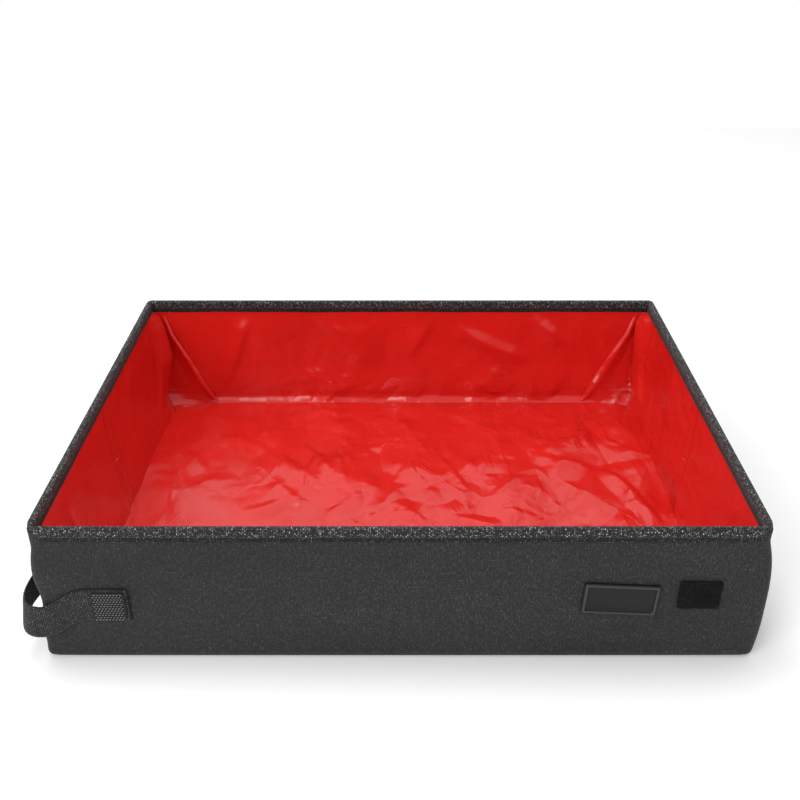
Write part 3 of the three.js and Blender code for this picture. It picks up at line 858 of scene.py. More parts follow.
@dataclass
class Finishes:
    """Every material of the box, each built once."""

    oxford: bpy.types.Material = built(WovenFinish(
        "oxford cloth", (0.0082, 0.0083, 0.009), 0.7, 0.18, thread=(0.185, 0.187, 0.198),
        pitch_across=0.6, pitch_along=0.6, depth=0.00007, flecks=1.0, sheen_and_mottle=2.2,
        fleck_gain=0.75, ground=0.09, slub=0.95))
    tape: bpy.types.Material = built(WovenFinish(
        "rim tape", (0.006, 0.0052, 0.0054), 0.75, 0.16, thread=(0.8, 0.765, 0.77),
        pitch_across=0.95, pitch_along=0.95, depth=0.00014, flecks=0.75, sheen_and_mottle=0.9,
        fleck_gain=1.0, ground=0.03, slub=1.0, seam=(83.0, 86.4)))
    webbing: bpy.types.Material = built(WovenFinish(
        "handle webbing", (0.005, 0.0047, 0.0047), 0.75, 0.14, thread=(0.225, 0.219, 0.219),
        pitch_across=1.0, pitch_along=0.95, depth=0.00014, flecks=1.3, sheen_and_mottle=0.7,
        fleck_gain=0.9, ground=0.02, slub=0.6))
    film: bpy.types.Material = built(FilmFinish(
        "waterproof film", (0.63, 0.0145, 0.0108), 0.22, 0.42))
    board: bpy.types.Material = built(MouldedFinish(
        "stiffening board", (0.45, 0.46, 0.47), 0.6, 0.4))
    rubber: bpy.types.Material = built(MouldedFinish(
        "soft rubber", (0.006, 0.006, 0.0063), 0.55, 0.25))
    # paler, glossier rubber on the crown of the plate's raised rim
    paler_crown: bpy.types.Material = built(MouldedFinish(
        "paler rubber crown", (0.026, 0.026, 0.0265), 0.45, 0.35, 1400.0))
    hook: bpy.types.Material = built(MouldedFinish(
        "hook tape", (0.0045, 0.0043, 0.0044), 0.6, 0.25))
    loop: bpy.types.Material = built(MouldedFinish(
        "loop pile", (0.009, 0.0088, 0.009), 0.95, 0.15))
    hook_tip: bpy.types.Material = built(MouldedFinish(
        "hooks", (0.15, 0.146, 0.147), 0.45, 0.3, 1500.0))
    thread: bpy.types.Material = built(MouldedFinish(
        "sewing thread", (0.035, 0.034, 0.034), 0.6, 0.35, 2500.0))


# ---------------------------------------------------------------- stitches and pile


def arch_of_thread(wiring: Wiring, given: Sockets) -> Socket:
    """An arch of thread that stands on its two ends, for instances.

    Args:
        wiring: The tree that it goes into.
        given: What the tree is given: Length, Rise and Thickness.

    Returns:
        The arch's mesh.
    """
    half = wiring.product(given["Length"], 0.5)
    line = wiring.node("GeometryNodeCurveQuadraticBezier", {
        "Resolution": 4, "Start": wiring.join(wiring.product(half, -1.0)),
        "Middle": wiring.join(z=wiring.product(given["Rise"], 2.0)), "End": wiring.join(half)})
    profile = wiring.node("GeometryNodeCurvePrimitiveCircle", {
        "Resolution": 5, "Radius": wiring.product(given["Thickness"], 0.5)}, mode="RADIUS")
    thread = wiring.node("GeometryNodeCurveToMesh", {
        "Curve": line.outputs[0], "Profile Curve": profile.outputs[0], "Fill Caps": True})
    return thread.outputs[0]


def start_growth(
    name: str, inputs: dict[str, str]
) -> tuple[bpy.types.NodeTree, Wiring, Sockets]:
    """Starts a geometry tree that grows thread on a base.

    Args:
        name: Its name.
        inputs: Its own inputs' names and socket types.

    Returns:
        The tree, its Wiring and what it is given.
    """
    tree = bpy.data.node_groups.new(name, "GeometryNodeTree")
    sockets = {"Base": "NodeSocketGeometry", "Length": FLOAT, "Rise": FLOAT, "Thickness": FLOAT,
               "Thread": "NodeSocketMaterial", **inputs}
    for label, kind in sockets.items():
        tree.interface.new_socket(name=label, in_out="INPUT", socket_type=kind)
    tree.interface.new_socket(name="Grown", in_out="OUTPUT", socket_type="NodeSocketGeometry")
    wiring = Wiring(tree)
    return tree, wiring, wiring.node("NodeGroupInput").outputs


def end_growth(wiring: Wiring, given: Sockets, points: Socket, turn: Socket) -> None:
    """Stands an arch of thread on every point, makes them real and gives them their material.

    Args:
        wiring: The tree's Wiring.
        given: What the tree is given.
        points: The points.
        turn: How each arch is turned.
    """
    spots = wiring.node("GeometryNodeInstanceOnPoints", {
        "Points": points, "Rotation": turn, "Instance": arch_of_thread(wiring, given)})
    real = wiring.node("GeometryNodeRealizeInstances", {"Geometry": spots.outputs[0]})
    dressed = wiring.node("GeometryNodeSetMaterial", {
        "Geometry": real.outputs[0], "Material": given["Thread"]})
    wiring.node("NodeGroupOutput", {"Grown": dressed.outputs[0]})


def row_tree() -> bpy.types.NodeTree:
    """Stitches in a row: an arch of thread every pitch along a path, standing off its cloth.

    Returns:
        A tree whose base has edges and a point attribute named outward.
    """
    tree, wiring, given = start_growth("stitch row", {"Pitch": FLOAT})
    path = wiring.node("GeometryNodeMeshToCurve", {"Mesh": given["Base"]})
    row = wiring.node("GeometryNodeResampleCurve",
                      {"Curve": path.outputs[0], "Length": given["Pitch"]}, mode="LENGTH")
    outward = wiring.node("GeometryNodeInputNamedAttribute", {"Name": "outward"},
                          data_type="FLOAT_VECTOR")
    stand = wiring.node("FunctionNodeAlignRotationToVector",
                        {"Vector": outward.outputs["Attribute"]}, axis="Z")
    lie = wiring.node("FunctionNodeAlignRotationToVector", {
        "Rotation": stand.outputs[0], "Vector": wiring.node("GeometryNodeInputTangent").outputs[0],
    }, axis="X", pivot_axis="Z")
    end_growth(wiring, given, row.outputs[0], lie.outputs[0])
    return tree


def pile_tree() -> bpy.types.NodeTree:
    """Pile on a patch: loops of thread at random places, turned and leaning at random.

    Returns:
        A tree whose base has faces.
    """
    tree, wiring, given = start_growth("loop pile", {
        "Density": FLOAT, "Lean": FLOAT, "Seed": "NodeSocketInt"})
    spread = wiring.node("GeometryNodeDistributePointsOnFaces", {
        "Mesh": given["Base"], "Density": given["Density"], "Seed": given["Seed"],
    }, distribute_method="RANDOM")
    lean = (wiring.product(given["Lean"], -1.0), given["Lean"])
    turns = [wiring.node("FunctionNodeRandomValue", {2: low, 3: high, "Seed": seed},
                         data_type="FLOAT").outputs[1]
             for seed, (low, high) in enumerate((lean, lean, (-math.pi, math.pi)))]
    angles = wiring.node("FunctionNodeEulerToRotation", {0: wiring.join(*turns)})
    turned = wiring.node("FunctionNodeRotateRotation", {
        0: spread.outputs["Rotation"], 1: angles.outputs[0]}, rotation_space="LOCAL")
    end_growth(wiring, given, spread.outputs["Points"], turned.outputs[0])
    return tree


ROW = row_tree()
PILE = pile_tree()


@dataclass(frozen=True)
class Thread:
    """A thread that stitches or loops are made of, in millimetres."""

    length: float
    rise: float
    thickness: float

    def grow(self, name: str, carrier: bpy.types.Object, tree: bpy.types.NodeTree,
             material: bpy.types.Material, **inputs: float) -> bpy.types.Object:
        """Grows this thread on a carrier, which is used up.

        Args:
            name: The new piece's name.
            carrier: The path or patch.
            tree: The geometry tree.
            material: The thread's material.
            **inputs: The tree's other inputs, in metres.

        Returns:
            The grown piece, a plain mesh.
        """
        values = {"Length": self.length * METRES, "Rise": self.rise * METRES,
                  "Thickness": self.thickness * METRES, "Thread": material, **inputs}
        modifier = carrier.modifiers.new("grow", "NODES")
        modifier.node_group = tree
        for item in tree.interface.items_tree:
            if item.in_out == "INPUT" and item.name in values:
                modifier[item.identifier] = values[item.name]
        graph = bpy.context.evaluated_depsgraph_get()
        mesh = bpy.data.meshes.new_from_object(carrier.evaluated_get(graph), depsgraph=graph)
        bpy.data.objects.remove(carrier)
        mesh.name = name
        mesh.shade_smooth()
        return linked(name, mesh)

    def rows(self, name: str, paths: Sequence[tuple[Array, Array]], pitch: float,
             material: bpy.types.Material) -> bpy.types.Object:
        """Sews rows along paths.

        Args:
            name: The rows' name.
            paths: The points and outward directions of each path.
            pitch: The distance from stitch to stitch.
            material: The thread's material.

        Returns:
            The stitches of all rows.
        """
        edges, first = [], 0
        for path, _ in paths:
            edges += [(first + k, first + k + 1) for k in range(len(path) - 1)]
            first += len(path)
        points, outward = (np.concatenate(parts) for parts in zip(*paths))
        carrier = new_object(f"{name}_path", points, [], edges=edges)
        layer = carrier.data.attributes.new("outward", "FLOAT_VECTOR", "POINT")
        layer.data.foreach_set("vector", outward.astype(np.float32).ravel())
        return self.grow(name, carrier, ROW, material, Pitch=pitch * METRES)


# ---------------------------------------------------------------- cloth and tape round the ring


@dataclass
class RingPiece:
    """Cloth or tape drawn round the walls' ring in eight lengths, each tucked under the next."""

    finishes: Finishes
    inset: float
    radius: float
    corner: float
    step: float
    fine: float
    tuck: float
    tuck_depth: float
    thickness: float

    def ring(self) -> Ring:
        """The ring of the piece's outer face."""
        return Ring(SIZES.half_x - self.inset, SIZES.half_y - self.inset, self.radius)

    def cuts(self) -> list[WallCut]:
        """The piece's eight lengths."""
        return wall_cuts(self.ring().half_x, self.corner)

    def ends(self, cut: WallCut) -> Flat:
        """The ends of one length, without its tucks.

        Args:
            cut: The length.

        Returns:
            Its first and last run.
        """
        ring = self.ring()
        start, end = ring.run_of(*cut.start), ring.run_of(*cut.end)
        return start, end + ring.whole if end <= start else end

    def columns(self, cut: WallCut) -> tuple[Array, Array, Array, Array]:
        """Where the columns of points of one length stand.

        Args:
            cut: The length.

        Returns:
            Their runs, how deep each is tucked in, their places and outward directions.
        """
        start, end = self.ends(cut)
        runs = self.ring().stations(start, end, self.step, self.fine)
        depth = np.pad(np.zeros(len(runs)), 1, constant_values=self.tuck_depth)
        runs = np.concatenate([[start - self.tuck], runs, [end + self.tuck]])
        return runs, depth, *self.ring().at(runs)

    @staticmethod
    def inwards(place: Array, away: Array, stand: Array, height: Array) -> Array:
        """Points that stand in from the ring.

        Args:
            place: The places of the columns on the ring.
            away: Their outward directions.
            stand: How far each point stands in, by column and row.
            height: The heights of the rows.

        Returns:
            The points, by column and row.
        """
        flat = place[:, None, :] - away[:, None, :] * stand[..., None]
        return np.concatenate([flat, np.broadcast_to(height[:, None], (*stand.shape, 1))], -1)

    def lay(self, cut: WallCut, points: Array, uv: Array, slot: Slot, kind: str, node: str,
            held: str, wide: float) -> None:
        """Args:
            cut: The length.
            points: Its points, by column and row.
            uv: Their places on the cloth.
            slot: Its slot, which is also the name of its finish.
            kind: The end of its name.
            node: The end of its nodes' names.
            held: Not used.
            wide: Not used.
        """
        piece = new_object(f"{cut.name}_{kind}", points, grid_faces(*points.shape[:2]), uv)
        thicken(piece, self.thickness)
        dress(piece, getattr(self.finishes, slot.value))
        carry(piece, cut)
        for wall in cut.nodes:
            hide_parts(f"{wall}_{node}")
        cut.boards()
        log.info("%s: %d points", piece.name, points.size // 3)


# The cloth's unevenness: the size of each wave, its lengths along and up the wall, and its start.
SLACK_WAVES = ((0.22, 31.0, 24.0, 0.6), (0.16, 17.0, -15.0, 2.1), (0.10, 9.5, 11.0, 4.0))


@dataclass
class OuterCloth(RingPiece):
    """The woven outer cloth of the walls, hemmed at its foot, and of the base."""

    inset: float = SIZES.cloth_inset
    radius: float = 4.0
    corner: float = SIZES.corner_cut
    step: float = 3.0
    fine: float = 0.8
    tuck: float = 1.2
    tuck_depth: float = 0.08
    thickness: float = 0.5
    foot: float = 0.7
    hem_radius: float = 3.2
    top: float = 90.0
    bulge: float = 5.3
    bulge_middle: float = 36.0
    bulge_reach: float = 45.8
    fade_front: float = 34.0
    fade_end: float = 20.0
    crease_width: float = 2.0
    crease_depth: float = 0.75
    left_slimmer: float = 1.5
    strap_corner: Flat = (-199.0, -149.0)
    strap_depth: float = 3.4
    strap_level: float = 40.0
    strap_height: float = 13.0
    strap_reach: float = 26.0
    base_grid: tuple[int, int] = (67, 51)
    base_lift: float = 0.35

    def section(self) -> tuple[Array, Array]:
        """The cloth's section from its turned-in foot up under the tape.

        Returns:
            The inset from the outer face and the height of each point.
        """
        turns = np.linspace(math.pi / 2, 0.0, 7)
        inset = self.hem_radius * (1 - np.cos(turns))
        height = self.foot + self.hem_radius * (1 - np.sin(turns))
        rise = np.linspace(self.foot + self.hem_radius, self.top, 36)[1:]
        return np.concatenate([inset, np.zeros(len(rise))]), np.concatenate([height, rise])

    def bulge_at(self, height: Array) -> Array:
        """How far the corners stand out at each height."""
        share = np.abs(height - self.bulge_middle) / self.bulge_reach
        return self.bulge * np.maximum(0.0, 1 - share**3)

    def bulge_share(self, place: Array) -> Array:
        """The share of the corner bulge at places on the ring.

        Args:
            place: The places, two numbers each.

        Returns:
            1 round the corners, dying out along the walls.
        """
        ring = self.ring()
        along_front = (ring.half_x - self.radius) - np.abs(place[:, 0])
        along_end = (ring.half_y - self.radius) - np.abs(place[:, 1])
        front = np.clip(1 - np.maximum(along_front, 0) / self.fade_front, 0, 1) ** 2
        end = np.clip(1 - np.maximum(along_end, 0) / self.fade_end, 0, 1) ** 2.2
        return np.where(along_front > 0, front, end)

    @staticmethod
    def slack(place: Array, height: Array) -> Array:
        """The cloth's soft unevenness over its boards.

        Args:
            place: The places on the ring.
            height: The heights of the section.

        Returns:
            How far the cloth stands in, by place and height.
        """
        along = (place[:, 0] + 0.7 * place[:, 1])[:, None]
        up = height[None, :]
        waves = sum(size * np.sin(along / long + up / tall + start)
                    for size, long, tall, start in SLACK_WAVES)
        middle = smoothstep(2.0, 16.0, up) * smoothstep(90.0, 76.0, up)
        return 0.45 * (waves + 0.3) * middle

    def strip(self, cut: WallCut) -> tuple[Array, Array]:
        """The points of one length of the ring.

        Args:
            cut: The length.

        Returns:
            Points and their places on the cloth, by column and row.
        """
        runs, depth, place, away = self.columns(cut)
        inset, height = self.section()
        stand = inset[None, :] + depth[:, None] + np.maximum(0.0, self.slack(place, height))
        points = self.inwards(place, away, stand, height)
        bulge = self.bulge_share(place)
        above_hem = smoothstep(2.0, 12.0, height)[None, :]
        slim = (place[:, 0] < 0) * (place[:, 1] < 0) * bulge
        dent = self.strap_dent(place, height) + self.left_slimmer * slim[:, None] * above_hem
        out = np.maximum(0.0, bulge[:, None] * self.bulge_at(height)[None, :] - dent)
        points[..., 0] += np.sign(place[:, 0, None]) * out
        points[..., 1] -= np.sign(place[:, 1, None]) * self.middle_crease(place, height) * above_hem
        return points, cloth_map(runs, height)

    def strap_dent(self, place: Array, height: Array) -> Array:
        """Where the handle pulls the front left corner in.

        Args:
            place: The places on the ring.
            height: The heights of the section.

        Returns:
            The dent's depth by place and height.
        """
        far = np.hypot(*(place - self.strap_corner).T)
        near = np.clip(1 - far / self.strap_reach, 0, 1)
        level = np.exp(-(((height - self.strap_level) / self.strap_height) ** 2))
        return self.strap_depth * (near[:, None] * level[None, :])

    def middle_crease(self, place: Array, height: Array) -> Array:
        """The upright middle crease of the front and back.

        Args:
            place: The places on the ring.
            height: The heights of the section.

        Returns:
            The crease's depth by place and height.
        """
        shift = place[:, 0, None] + 0.35 * np.sin(height[None, :] / 14.0)
        long_side = np.abs(place[:, 1, None]) > SIZES.half_y - 10
        return self.crease_depth * (np.exp(-((shift / self.crease_width) ** 2)) * long_side)

    def build(self) -> None:
        """Builds the walls' cloth and the base."""
        for cut in self.cuts():
            self.lay(cut, *self.strip(cut), Slot.OXFORD, "cloth", "panel", "stretched",
                     self.top + 2)
        self.build_base()

    def build_base(self) -> None:
        """Builds the cloth under the box, pressed slightly up between its edges."""
        high = np.array(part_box("base_panel")[1]) / METRES
        x, y = np.meshgrid(*(np.linspace(-1, 1, count) for count in self.base_grid), indexing="ij")
        points = np.empty((*x.shape, 3))
        points[..., 0] = high[0] * x * np.sqrt(1 - 0.0022 * y**8)
        points[..., 1] = high[1] * y * np.sqrt(1 - 0.0035 * x**8)
        edge = np.minimum(1 - np.abs(x), 1 - np.abs(y))
        waves = 0.6 + 0.4 * np.sin(points[..., 0] / 23) * np.cos(points[..., 1] / 19)
        points[..., 2] = 0.02 + self.base_lift * smoothstep(0.02, 0.2, edge) * waves
        base = new_object("base_cloth", points, grid_faces(*x.shape), points[..., :2].copy())
        base.data.flip_normals()
        thicken(base, self.thickness)
        dress(base, self.finishes.oxford)
        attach(base, Body.BACK.value)
        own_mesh(base)
        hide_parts("base_panel")
        log.info("base cloth: %d points", x.size)


@dataclass
class RimTape(RingPiece):
    """The woven binding tape that wraps the rim, with its row of stitches."""

    inset: float = 0.0
    radius: float = 4.2
    corner: float = 145.8
    step: float = 4.0
    fine: float = 0.7
    tuck: float = 1.0
    tuck_depth: float = 0.06
    thickness: float = 0.55
    edge: float = 1.5
    wobble: float = 0.18
    seam_height: float = 86.6
    valley_depth: float = 0.28
    valley_width: float = 0.9
    foot_rise: float = 1.0
    worn_corner: float = 1.9
    worn_reach: float = 9.0
    stitch: Thread = Thread(2.3, 0.22, 0.42)
    stitch_pitch: float = 3.0
    seam_end: float = 1.5

    def section(self) -> tuple[Array, Array, Array]:
        """The tape's section from its outer foot over the rim to its inner foot.

        Returns:
            The inset from the outer face, the height, and the place across the tape.
        """
        top, foot, wide = SIZES.height, SIZES.tape_foot + self.foot_rise, SIZES.rim_thickness
        turns = np.linspace(0, math.pi / 2, 6)
        inset = [np.array([0.3, 0.05]), np.zeros(9), self.edge * (1 - np.cos(turns))]
        height = [np.array([foot, foot + 0.3]), np.linspace(foot + 0.8, top - self.edge - 0.5, 9),
                  top - self.edge + self.edge * np.sin(turns)]
        inset += [wide - inset[2][::-1], np.full(9, wide), np.array([wide - 0.05, wide - 0.3])]
        insets, heights = np.concatenate(inset), np.concatenate(height)
        heights = np.concatenate([heights, heights[::-1]])
        off_seam = (heights - self.seam_height) / self.valley_width
        insets = insets + self.valley_depth * np.exp(-(off_seam**2)) * np.sign(wide / 2 - insets)
        return insets, heights, walked(np.column_stack([insets, heights]))

    def strip(self, cut: WallCut) -> tuple[Array, Array]:
        """The points of one length of the tape.

        Args:
            cut: The length.

        Returns:
            Points and their places on the tape, by column and row.
        """
        runs, depth, place, away = self.columns(cut)
        inset, height, across = self.section()
        inward = np.where(inset > SIZES.rim_thickness / 2, -1.0, 1.0)
        outer = np.clip(1 - inset / (SIZES.rim_thickness - 1.0), 0, 1)
        stand = inset[None, :] + depth[:, None] * inward[None, :]
        stand = stand + self.worn(place)[:, None] * outer[None, :]
        points = self.inwards(place, away, stand, height)
        wave = self.wobble * (np.sin(runs / 21.0) + 0.6 * np.sin(runs / 8.3 + 1.0))
        low = smoothstep(SIZES.height - 1.0, SIZES.tape_foot, height)
        points[..., 2] += wave[:, None] * low[None, :]
        points[..., 2] -= depth[:, None] * (height[None, :] > SIZES.height - self.edge)
        return points, cloth_map(runs, across)

    def worn(self, place: Array) -> Array:
        """How far the outside stands in at the rounded front corners, by place on the ring."""
        corner = np.hypot(np.abs(place[:, 0]) - SIZES.half_x, place[:, 1] + SIZES.half_y)
        return self.worn_corner * np.clip(1 - (corner / self.worn_reach) ** 2, 0, 1) ** 2

    def stitches(self, cut: WallCut) -> bpy.types.Object:
        """Sews the seam along one length, outside and inside.

        Args:
            cut: The length.

        Returns:
            The stitches.
        """
        ring, (start, end) = self.ring(), self.ends(cut)
        place, away = ring.at(ring.stations(start + self.seam_end, end - self.seam_end,
                                            self.step, self.fine))
        outward = np.column_stack([away, np.zeros(len(away))])
        level = np.full(len(away), self.seam_height)
        outside = place - away * (self.valley_depth + self.worn(place)[:, None])
        inside = place - away * (SIZES.rim_thickness - self.valley_depth)
        paths = [(np.column_stack([outside, level]), outward),
                 (np.column_stack([inside, level]), -outward)]
        return self.stitch.rows(f"{cut.name}_tape_stitches", paths, self.stitch_pitch,
                                self.finishes.thread)

    def build(self) -> None:
        """Builds the eight lengths of tape with their stitches."""
        for cut in self.cuts():
            points, uv = self.strip(cut)
            self.lay(cut, points, uv, Slot.TAPE, "tape", "rim_tape", "folded",
                     float(np.ptp(uv[..., 1])))
            sewn = self.stitches(cut)
            carry(sewn, cut)


# ---------------------------------------------------------------- film


@dataclass(frozen=True)
class Fold:
    """A sharp fold in film: its ridge, its height and the width of its two flanks."""

    start: Flat
    end: Flat
    height: float
    left: float
    right: float
    bow: float = 0.0

    def rise(self, x: Array, y: Array) -> Array:
        """The fold's height at places on the film.

        Args:
            x: The places.
            y: The places.

        Returns:
            Its height there.
        """
        along = np.subtract(self.end, self.start)
        length = float(np.hypot(*along))
        way = along / length
        off_x, off_y = x - self.start[0], y - self.start[1]
        share = (off_x * way[0] + off_y * way[1]) / length
        side = off_y * way[0] - off_x * way[1] - self.bow * 4 * share * (1 - share)
        near = np.clip(1 - np.where(side > 0, side / self.left, -side / self.right), 0, 1)
        taper = np.clip(np.minimum(share, 1 - share) / 0.3, 0, 1)
        return self.height * near * taper**0.8


@dataclass(frozen=True)
class Crumple:
    """Film crushed into flat facets that meet at straight creases."""

    spacing: float
    height: float
    seed: int
    turn: float = 0.0
    stretch: float = 1.0

    def rise(self, x: Array, y: Array) -> Array:
        """The facets' height at places on the film.

        Args:
            x: The places.
            y: The places.

        Returns:
            Their height, about zero.
        """
        rng = np.random.default_rng(self.seed)
        cosine, sine = math.cos(self.turn), math.sin(self.turn)
        along = (x * cosine + y * sine) / (self.spacing * self.stretch)
        across = (y * cosine - x * sine) / self.spacing
        first = np.floor([along.min(), across.min()]) - 1
        columns, rows = (np.ceil([along.max(), across.max()]) - first + 2).astype(int)
        nodes = np.stack(np.meshgrid(np.arange(columns), np.arange(rows), indexing="ij"), -1)
        nodes = nodes.reshape(-1, 2) + rng.uniform(-0.42, 0.42, (columns * rows, 2)) + first
        heights = rng.uniform(-1.0, 1.0, len(nodes))
        corners, _, facets, *_ = delaunay_2d_cdt([Vector(node) for node in nodes], [], [], 0, 1e-5)
        spots = np.array([tuple(corner) for corner in corners])
        rise = np.zeros_like(along)
        for facet in facets:
            a, b, c = spots[list(facet)]
            low, high = np.minimum(np.minimum(a, b), c), np.maximum(np.maximum(a, b), c)
            near = (along >= low[0]) & (along <= high[0]) & (across >= low[1]) & (across <= high[1])
            if not near.any():
                continue
            area = (b[0] - a[0]) * (c[1] - a[1]) - (b[1] - a[1]) * (c[0] - a[0])
            off, aside = along[near] - a[0], across[near] - a[1]
            to_b = (off * (c[1] - a[1]) - aside * (c[0] - a[0])) / area
            to_c = (aside * (b[0] - a[0]) - off * (b[1] - a[1])) / area
            level = heights[facet[0]] * (1 - to_b - to_c) + heights[facet[1]] * to_b
            level += heights[facet[2]] * to_c
            inside = (to_b >= -1e-9) & (to_c >= -1e-9) & (to_b + to_c <= 1 + 1e-9)
            rise[near] = np.where(inside, level, rise[near])
        return self.height * rise


@dataclass(frozen=True)
class FilmEnd:
    """What the photograph shows of the film at one end of the box, from the floor up."""

    side: int
    reach: tuple[float, ...]
    edge_levels: tuple[float, ...]
    edge_inward: tuple[float, ...]
    edge_along: tuple[float, ...]
    flap: float

    REACH_AT = (0.0, 50.0, 95.0, 110.0, 130.0, 146.0)

    def floor_reach(self, y: Array) -> Array:
        """How far from the end wall its film meets the floor, along the wall."""
        return np.interp(np.abs(y), self.REACH_AT, self.reach)

    def edge(self, level: Array) -> tuple[Array, Array]:
        """The upright edge at which the end's film turns into the corner pocket.

        Args:
            level: Heights.

        Returns:
            How far it stands in from the end wall's film, and its distance along the wall.
        """
        inward = np.interp(level, self.edge_levels, self.edge_inward)
        return inward, np.interp(level, self.edge_levels, self.edge_along)


LEFT_END = FilmEnd(
    side=-1,
    reach=(8.9, 9.3, 9.7, 12.2, 14.2, 15.0),
    edge_levels=(0.7, 1.4, 5.0, 10.7, 22.8, 32.9, 46.0, 59.0, 72.0, 80.5, 83.0, 90.0),
    edge_inward=(14.4, 14.2, 10.4, 7.4, 8.4, 10.8, 13.8, 12.0, 9.1, 5.4, 0.5, 0.4),
    edge_along=(129.0, 129.3, 133.6, 137.6, 139.4, 140.2, 141.0, 143.0, 144.8, 145.9, 146.3, 146.4),
    flap=1.0,
)
RIGHT_END = FilmEnd(
    side=1,
    reach=(7.1, 6.8, 7.4, 9.8, 12.8, 14.0),
    edge_levels=(0.7, 1.4, 5.0, 10.7, 19.4, 33.3, 49.0, 64.4, 75.0, 80.5, 83.0, 90.0),
    edge_inward=(12.9, 12.7, 10.4, 8.2, 7.2, 8.9, 9.8, 10.3, 9.6, 7.4, 0.5, 0.4),
    edge_along=(129.8, 130.2, 133.6, 137.6, 139.0, 140.2, 141.0, 143.0, 144.6, 145.7, 146.3, 146.4),
    flap=1.5,
)

FLOOR_CRUMPLES = (
    Crumple(spacing=33.0, height=2.0, seed=3, turn=0.7, stretch=1.5),
    Crumple(spacing=14.0, height=0.85, seed=5, turn=-0.5, stretch=1.6),
    Crumple(spacing=6.5, height=0.26, seed=8, turn=0.3, stretch=1.4),
)
FLOOR_FOLDS = (
    Fold((-138, 93), (-96, 57), 1.6, 8, 15, 3),
    Fold((-102, 62), (-50, 12), 2.3, 9, 18, 4),
    Fold((-168, 72), (-143, 31), 1.0, 6, 9, 4),
    Fold((-180, 119), (-147, 0), 0.9, 6, 6, -6),
    Fold((-75, 82), (-43, 33), 2.6, 9, 15, -3),
    Fold((-53, 95), (-30, 60), 1.8, 7, 10, 2),
    Fold((-108, -14), (-78, 8), 1.8, 7, 12, -2),
    Fold((-50, -12), (-24, 13), 1.9, 6, 11, 1),
    Fold((-93, 26), (-65, -9), 1.5, 8, 12, 2),
    Fold((-24, -34), (2, 24), 2.4, 12, 9, 2),
    Fold((1, 70), (35, -4), 2.8, 14, 18, -4),
    Fold((19, 95), (60, -2), 1.7, 5, 11, -3),
    Fold((62, 5), (97, 41), 1.6, 7, 12, 2),
    Fold((99, 56), (116, 55), 1.6, 8, 8, 0),
    Fold((100, 57), (150, 93), 2.0, 9, 13, 2),
    Fold((110, 56), (146, 40), 2.2, 7, 22, 1),
    Fold((146, 43), (121, -8), 2.4, 16, 9, 2),
    Fold((105, 46), (98, 2), 1.6, 11, 9, 0),
    Fold((147, 44), (168, -6), 4.0, 6, 11, 4),
    Fold((165, 2), (176, -30), 3.2, 6, 9, 2),
    Fold((67, 0), (98, -28), 2.0, 8, 13, 2),
    Fold((-3, 2), (20, -26), 1.6, 8, 10, 1),
    Fold((30, -11), (70, -31), 2.0, 9, 13, 1),
    Fold((30, -70), (96, -108), 2.4, 13, 15, 5),
    Fold((-120, -60), (-50, -92), 2.4, 11, 17, -5),
    Fold((-40, -120), (8, -62), 2.0, 11, 13, 4),
    Fold((110, -50), (160, -100), 2.4, 11, 13, 4),
    Fold((-170, -30), (-140, -100), 2.0, 11, 13, 4),
)
BACK_FOLDS = (
    Fold((-119, 92), (-145, 18), 3.2, 5, 13, 3),
    Fold((-168, 88), (-147, 72), 1.8, 5, 6),
    Fold((-70, 88), (-46, 62), 1.9, 6, 8),
    Fold((28, 90), (4, 42), 2.6, 6, 12, 3),
    Fold((44, 70), (110, 40), 3.0, 9, 9, -3),
    Fold((96, 86), (130, 54), 2.8, 6, 10, 2),
    Fold((-24, 84), (44, 77), 1.8, 6, 8, 3),
    Fold((60, 88), (90, 76), 1.6, 6, 7, 1),
)
FRONT_FOLDS = (
    Fold((-120, 84), (-88, 34), 1.6, 9, 12, 2),
    Fold((-20, 86), (0, 30), 1.4, 9, 12, -2),
    Fold((70, 80), (120, 46), 1.8, 12, 9, 3),
)
END_REAR_FOLDS = (
    Fold((116, 80), (122, 46), 2.6, 3, 5, 1),
    Fold((131, 46), (104, 16), 2.2, 3, 7, 4),
    Fold((14, 84), (30, 66), 1.3, 5, 7, 1),
    Fold((8, 66), (26, 78), 1.0, 4, 6),
    Fold((60, 84), (44, 36), 0.8, 9, 9, 2),
)
END_FRONT_FOLDS = (
    Fold((100, 80), (90, 44), 1.4, 7, 9, 2),
    Fold((10, 84), (34, 70), 1.2, 5, 7, 1),
    Fold((8, 72), (22, 80), 0.9, 4, 5),
)

# The web across a corner, by height: its ridge's distance from the middle and from the long wall,
# the width of its flap, and the depth of its pocket.
WEB_LEVELS = (0.8, 3.0, 6.3, 16.0, 22.0, 43.0, 64.0, 80.0, 90.0)
WEB_RIDGE = (150.0, 152.5, 157.0, 162.8, 166.3, 175.0, 184.6, 189.0, 190.6)
WEB_STAND_OFF = (1.4, 1.8, 2.4, 3.2, 3.6, 3.6, 2.6, 0.5, 0.3)
WEB_FLAP = (1.5, 3.0, 4.5, 5.5, 6.0, 5.0, 3.5, 2.0, 1.0)
POCKET_LEVELS = (0.8, 3.0, 8.0, 20.0, 40.0, 60.0, 78.0, 83.0)
POCKET_DEPTHS = (9.4, 9.4, 9.5, 9.6, 9.6, 7.5, 3.0, 0.3)


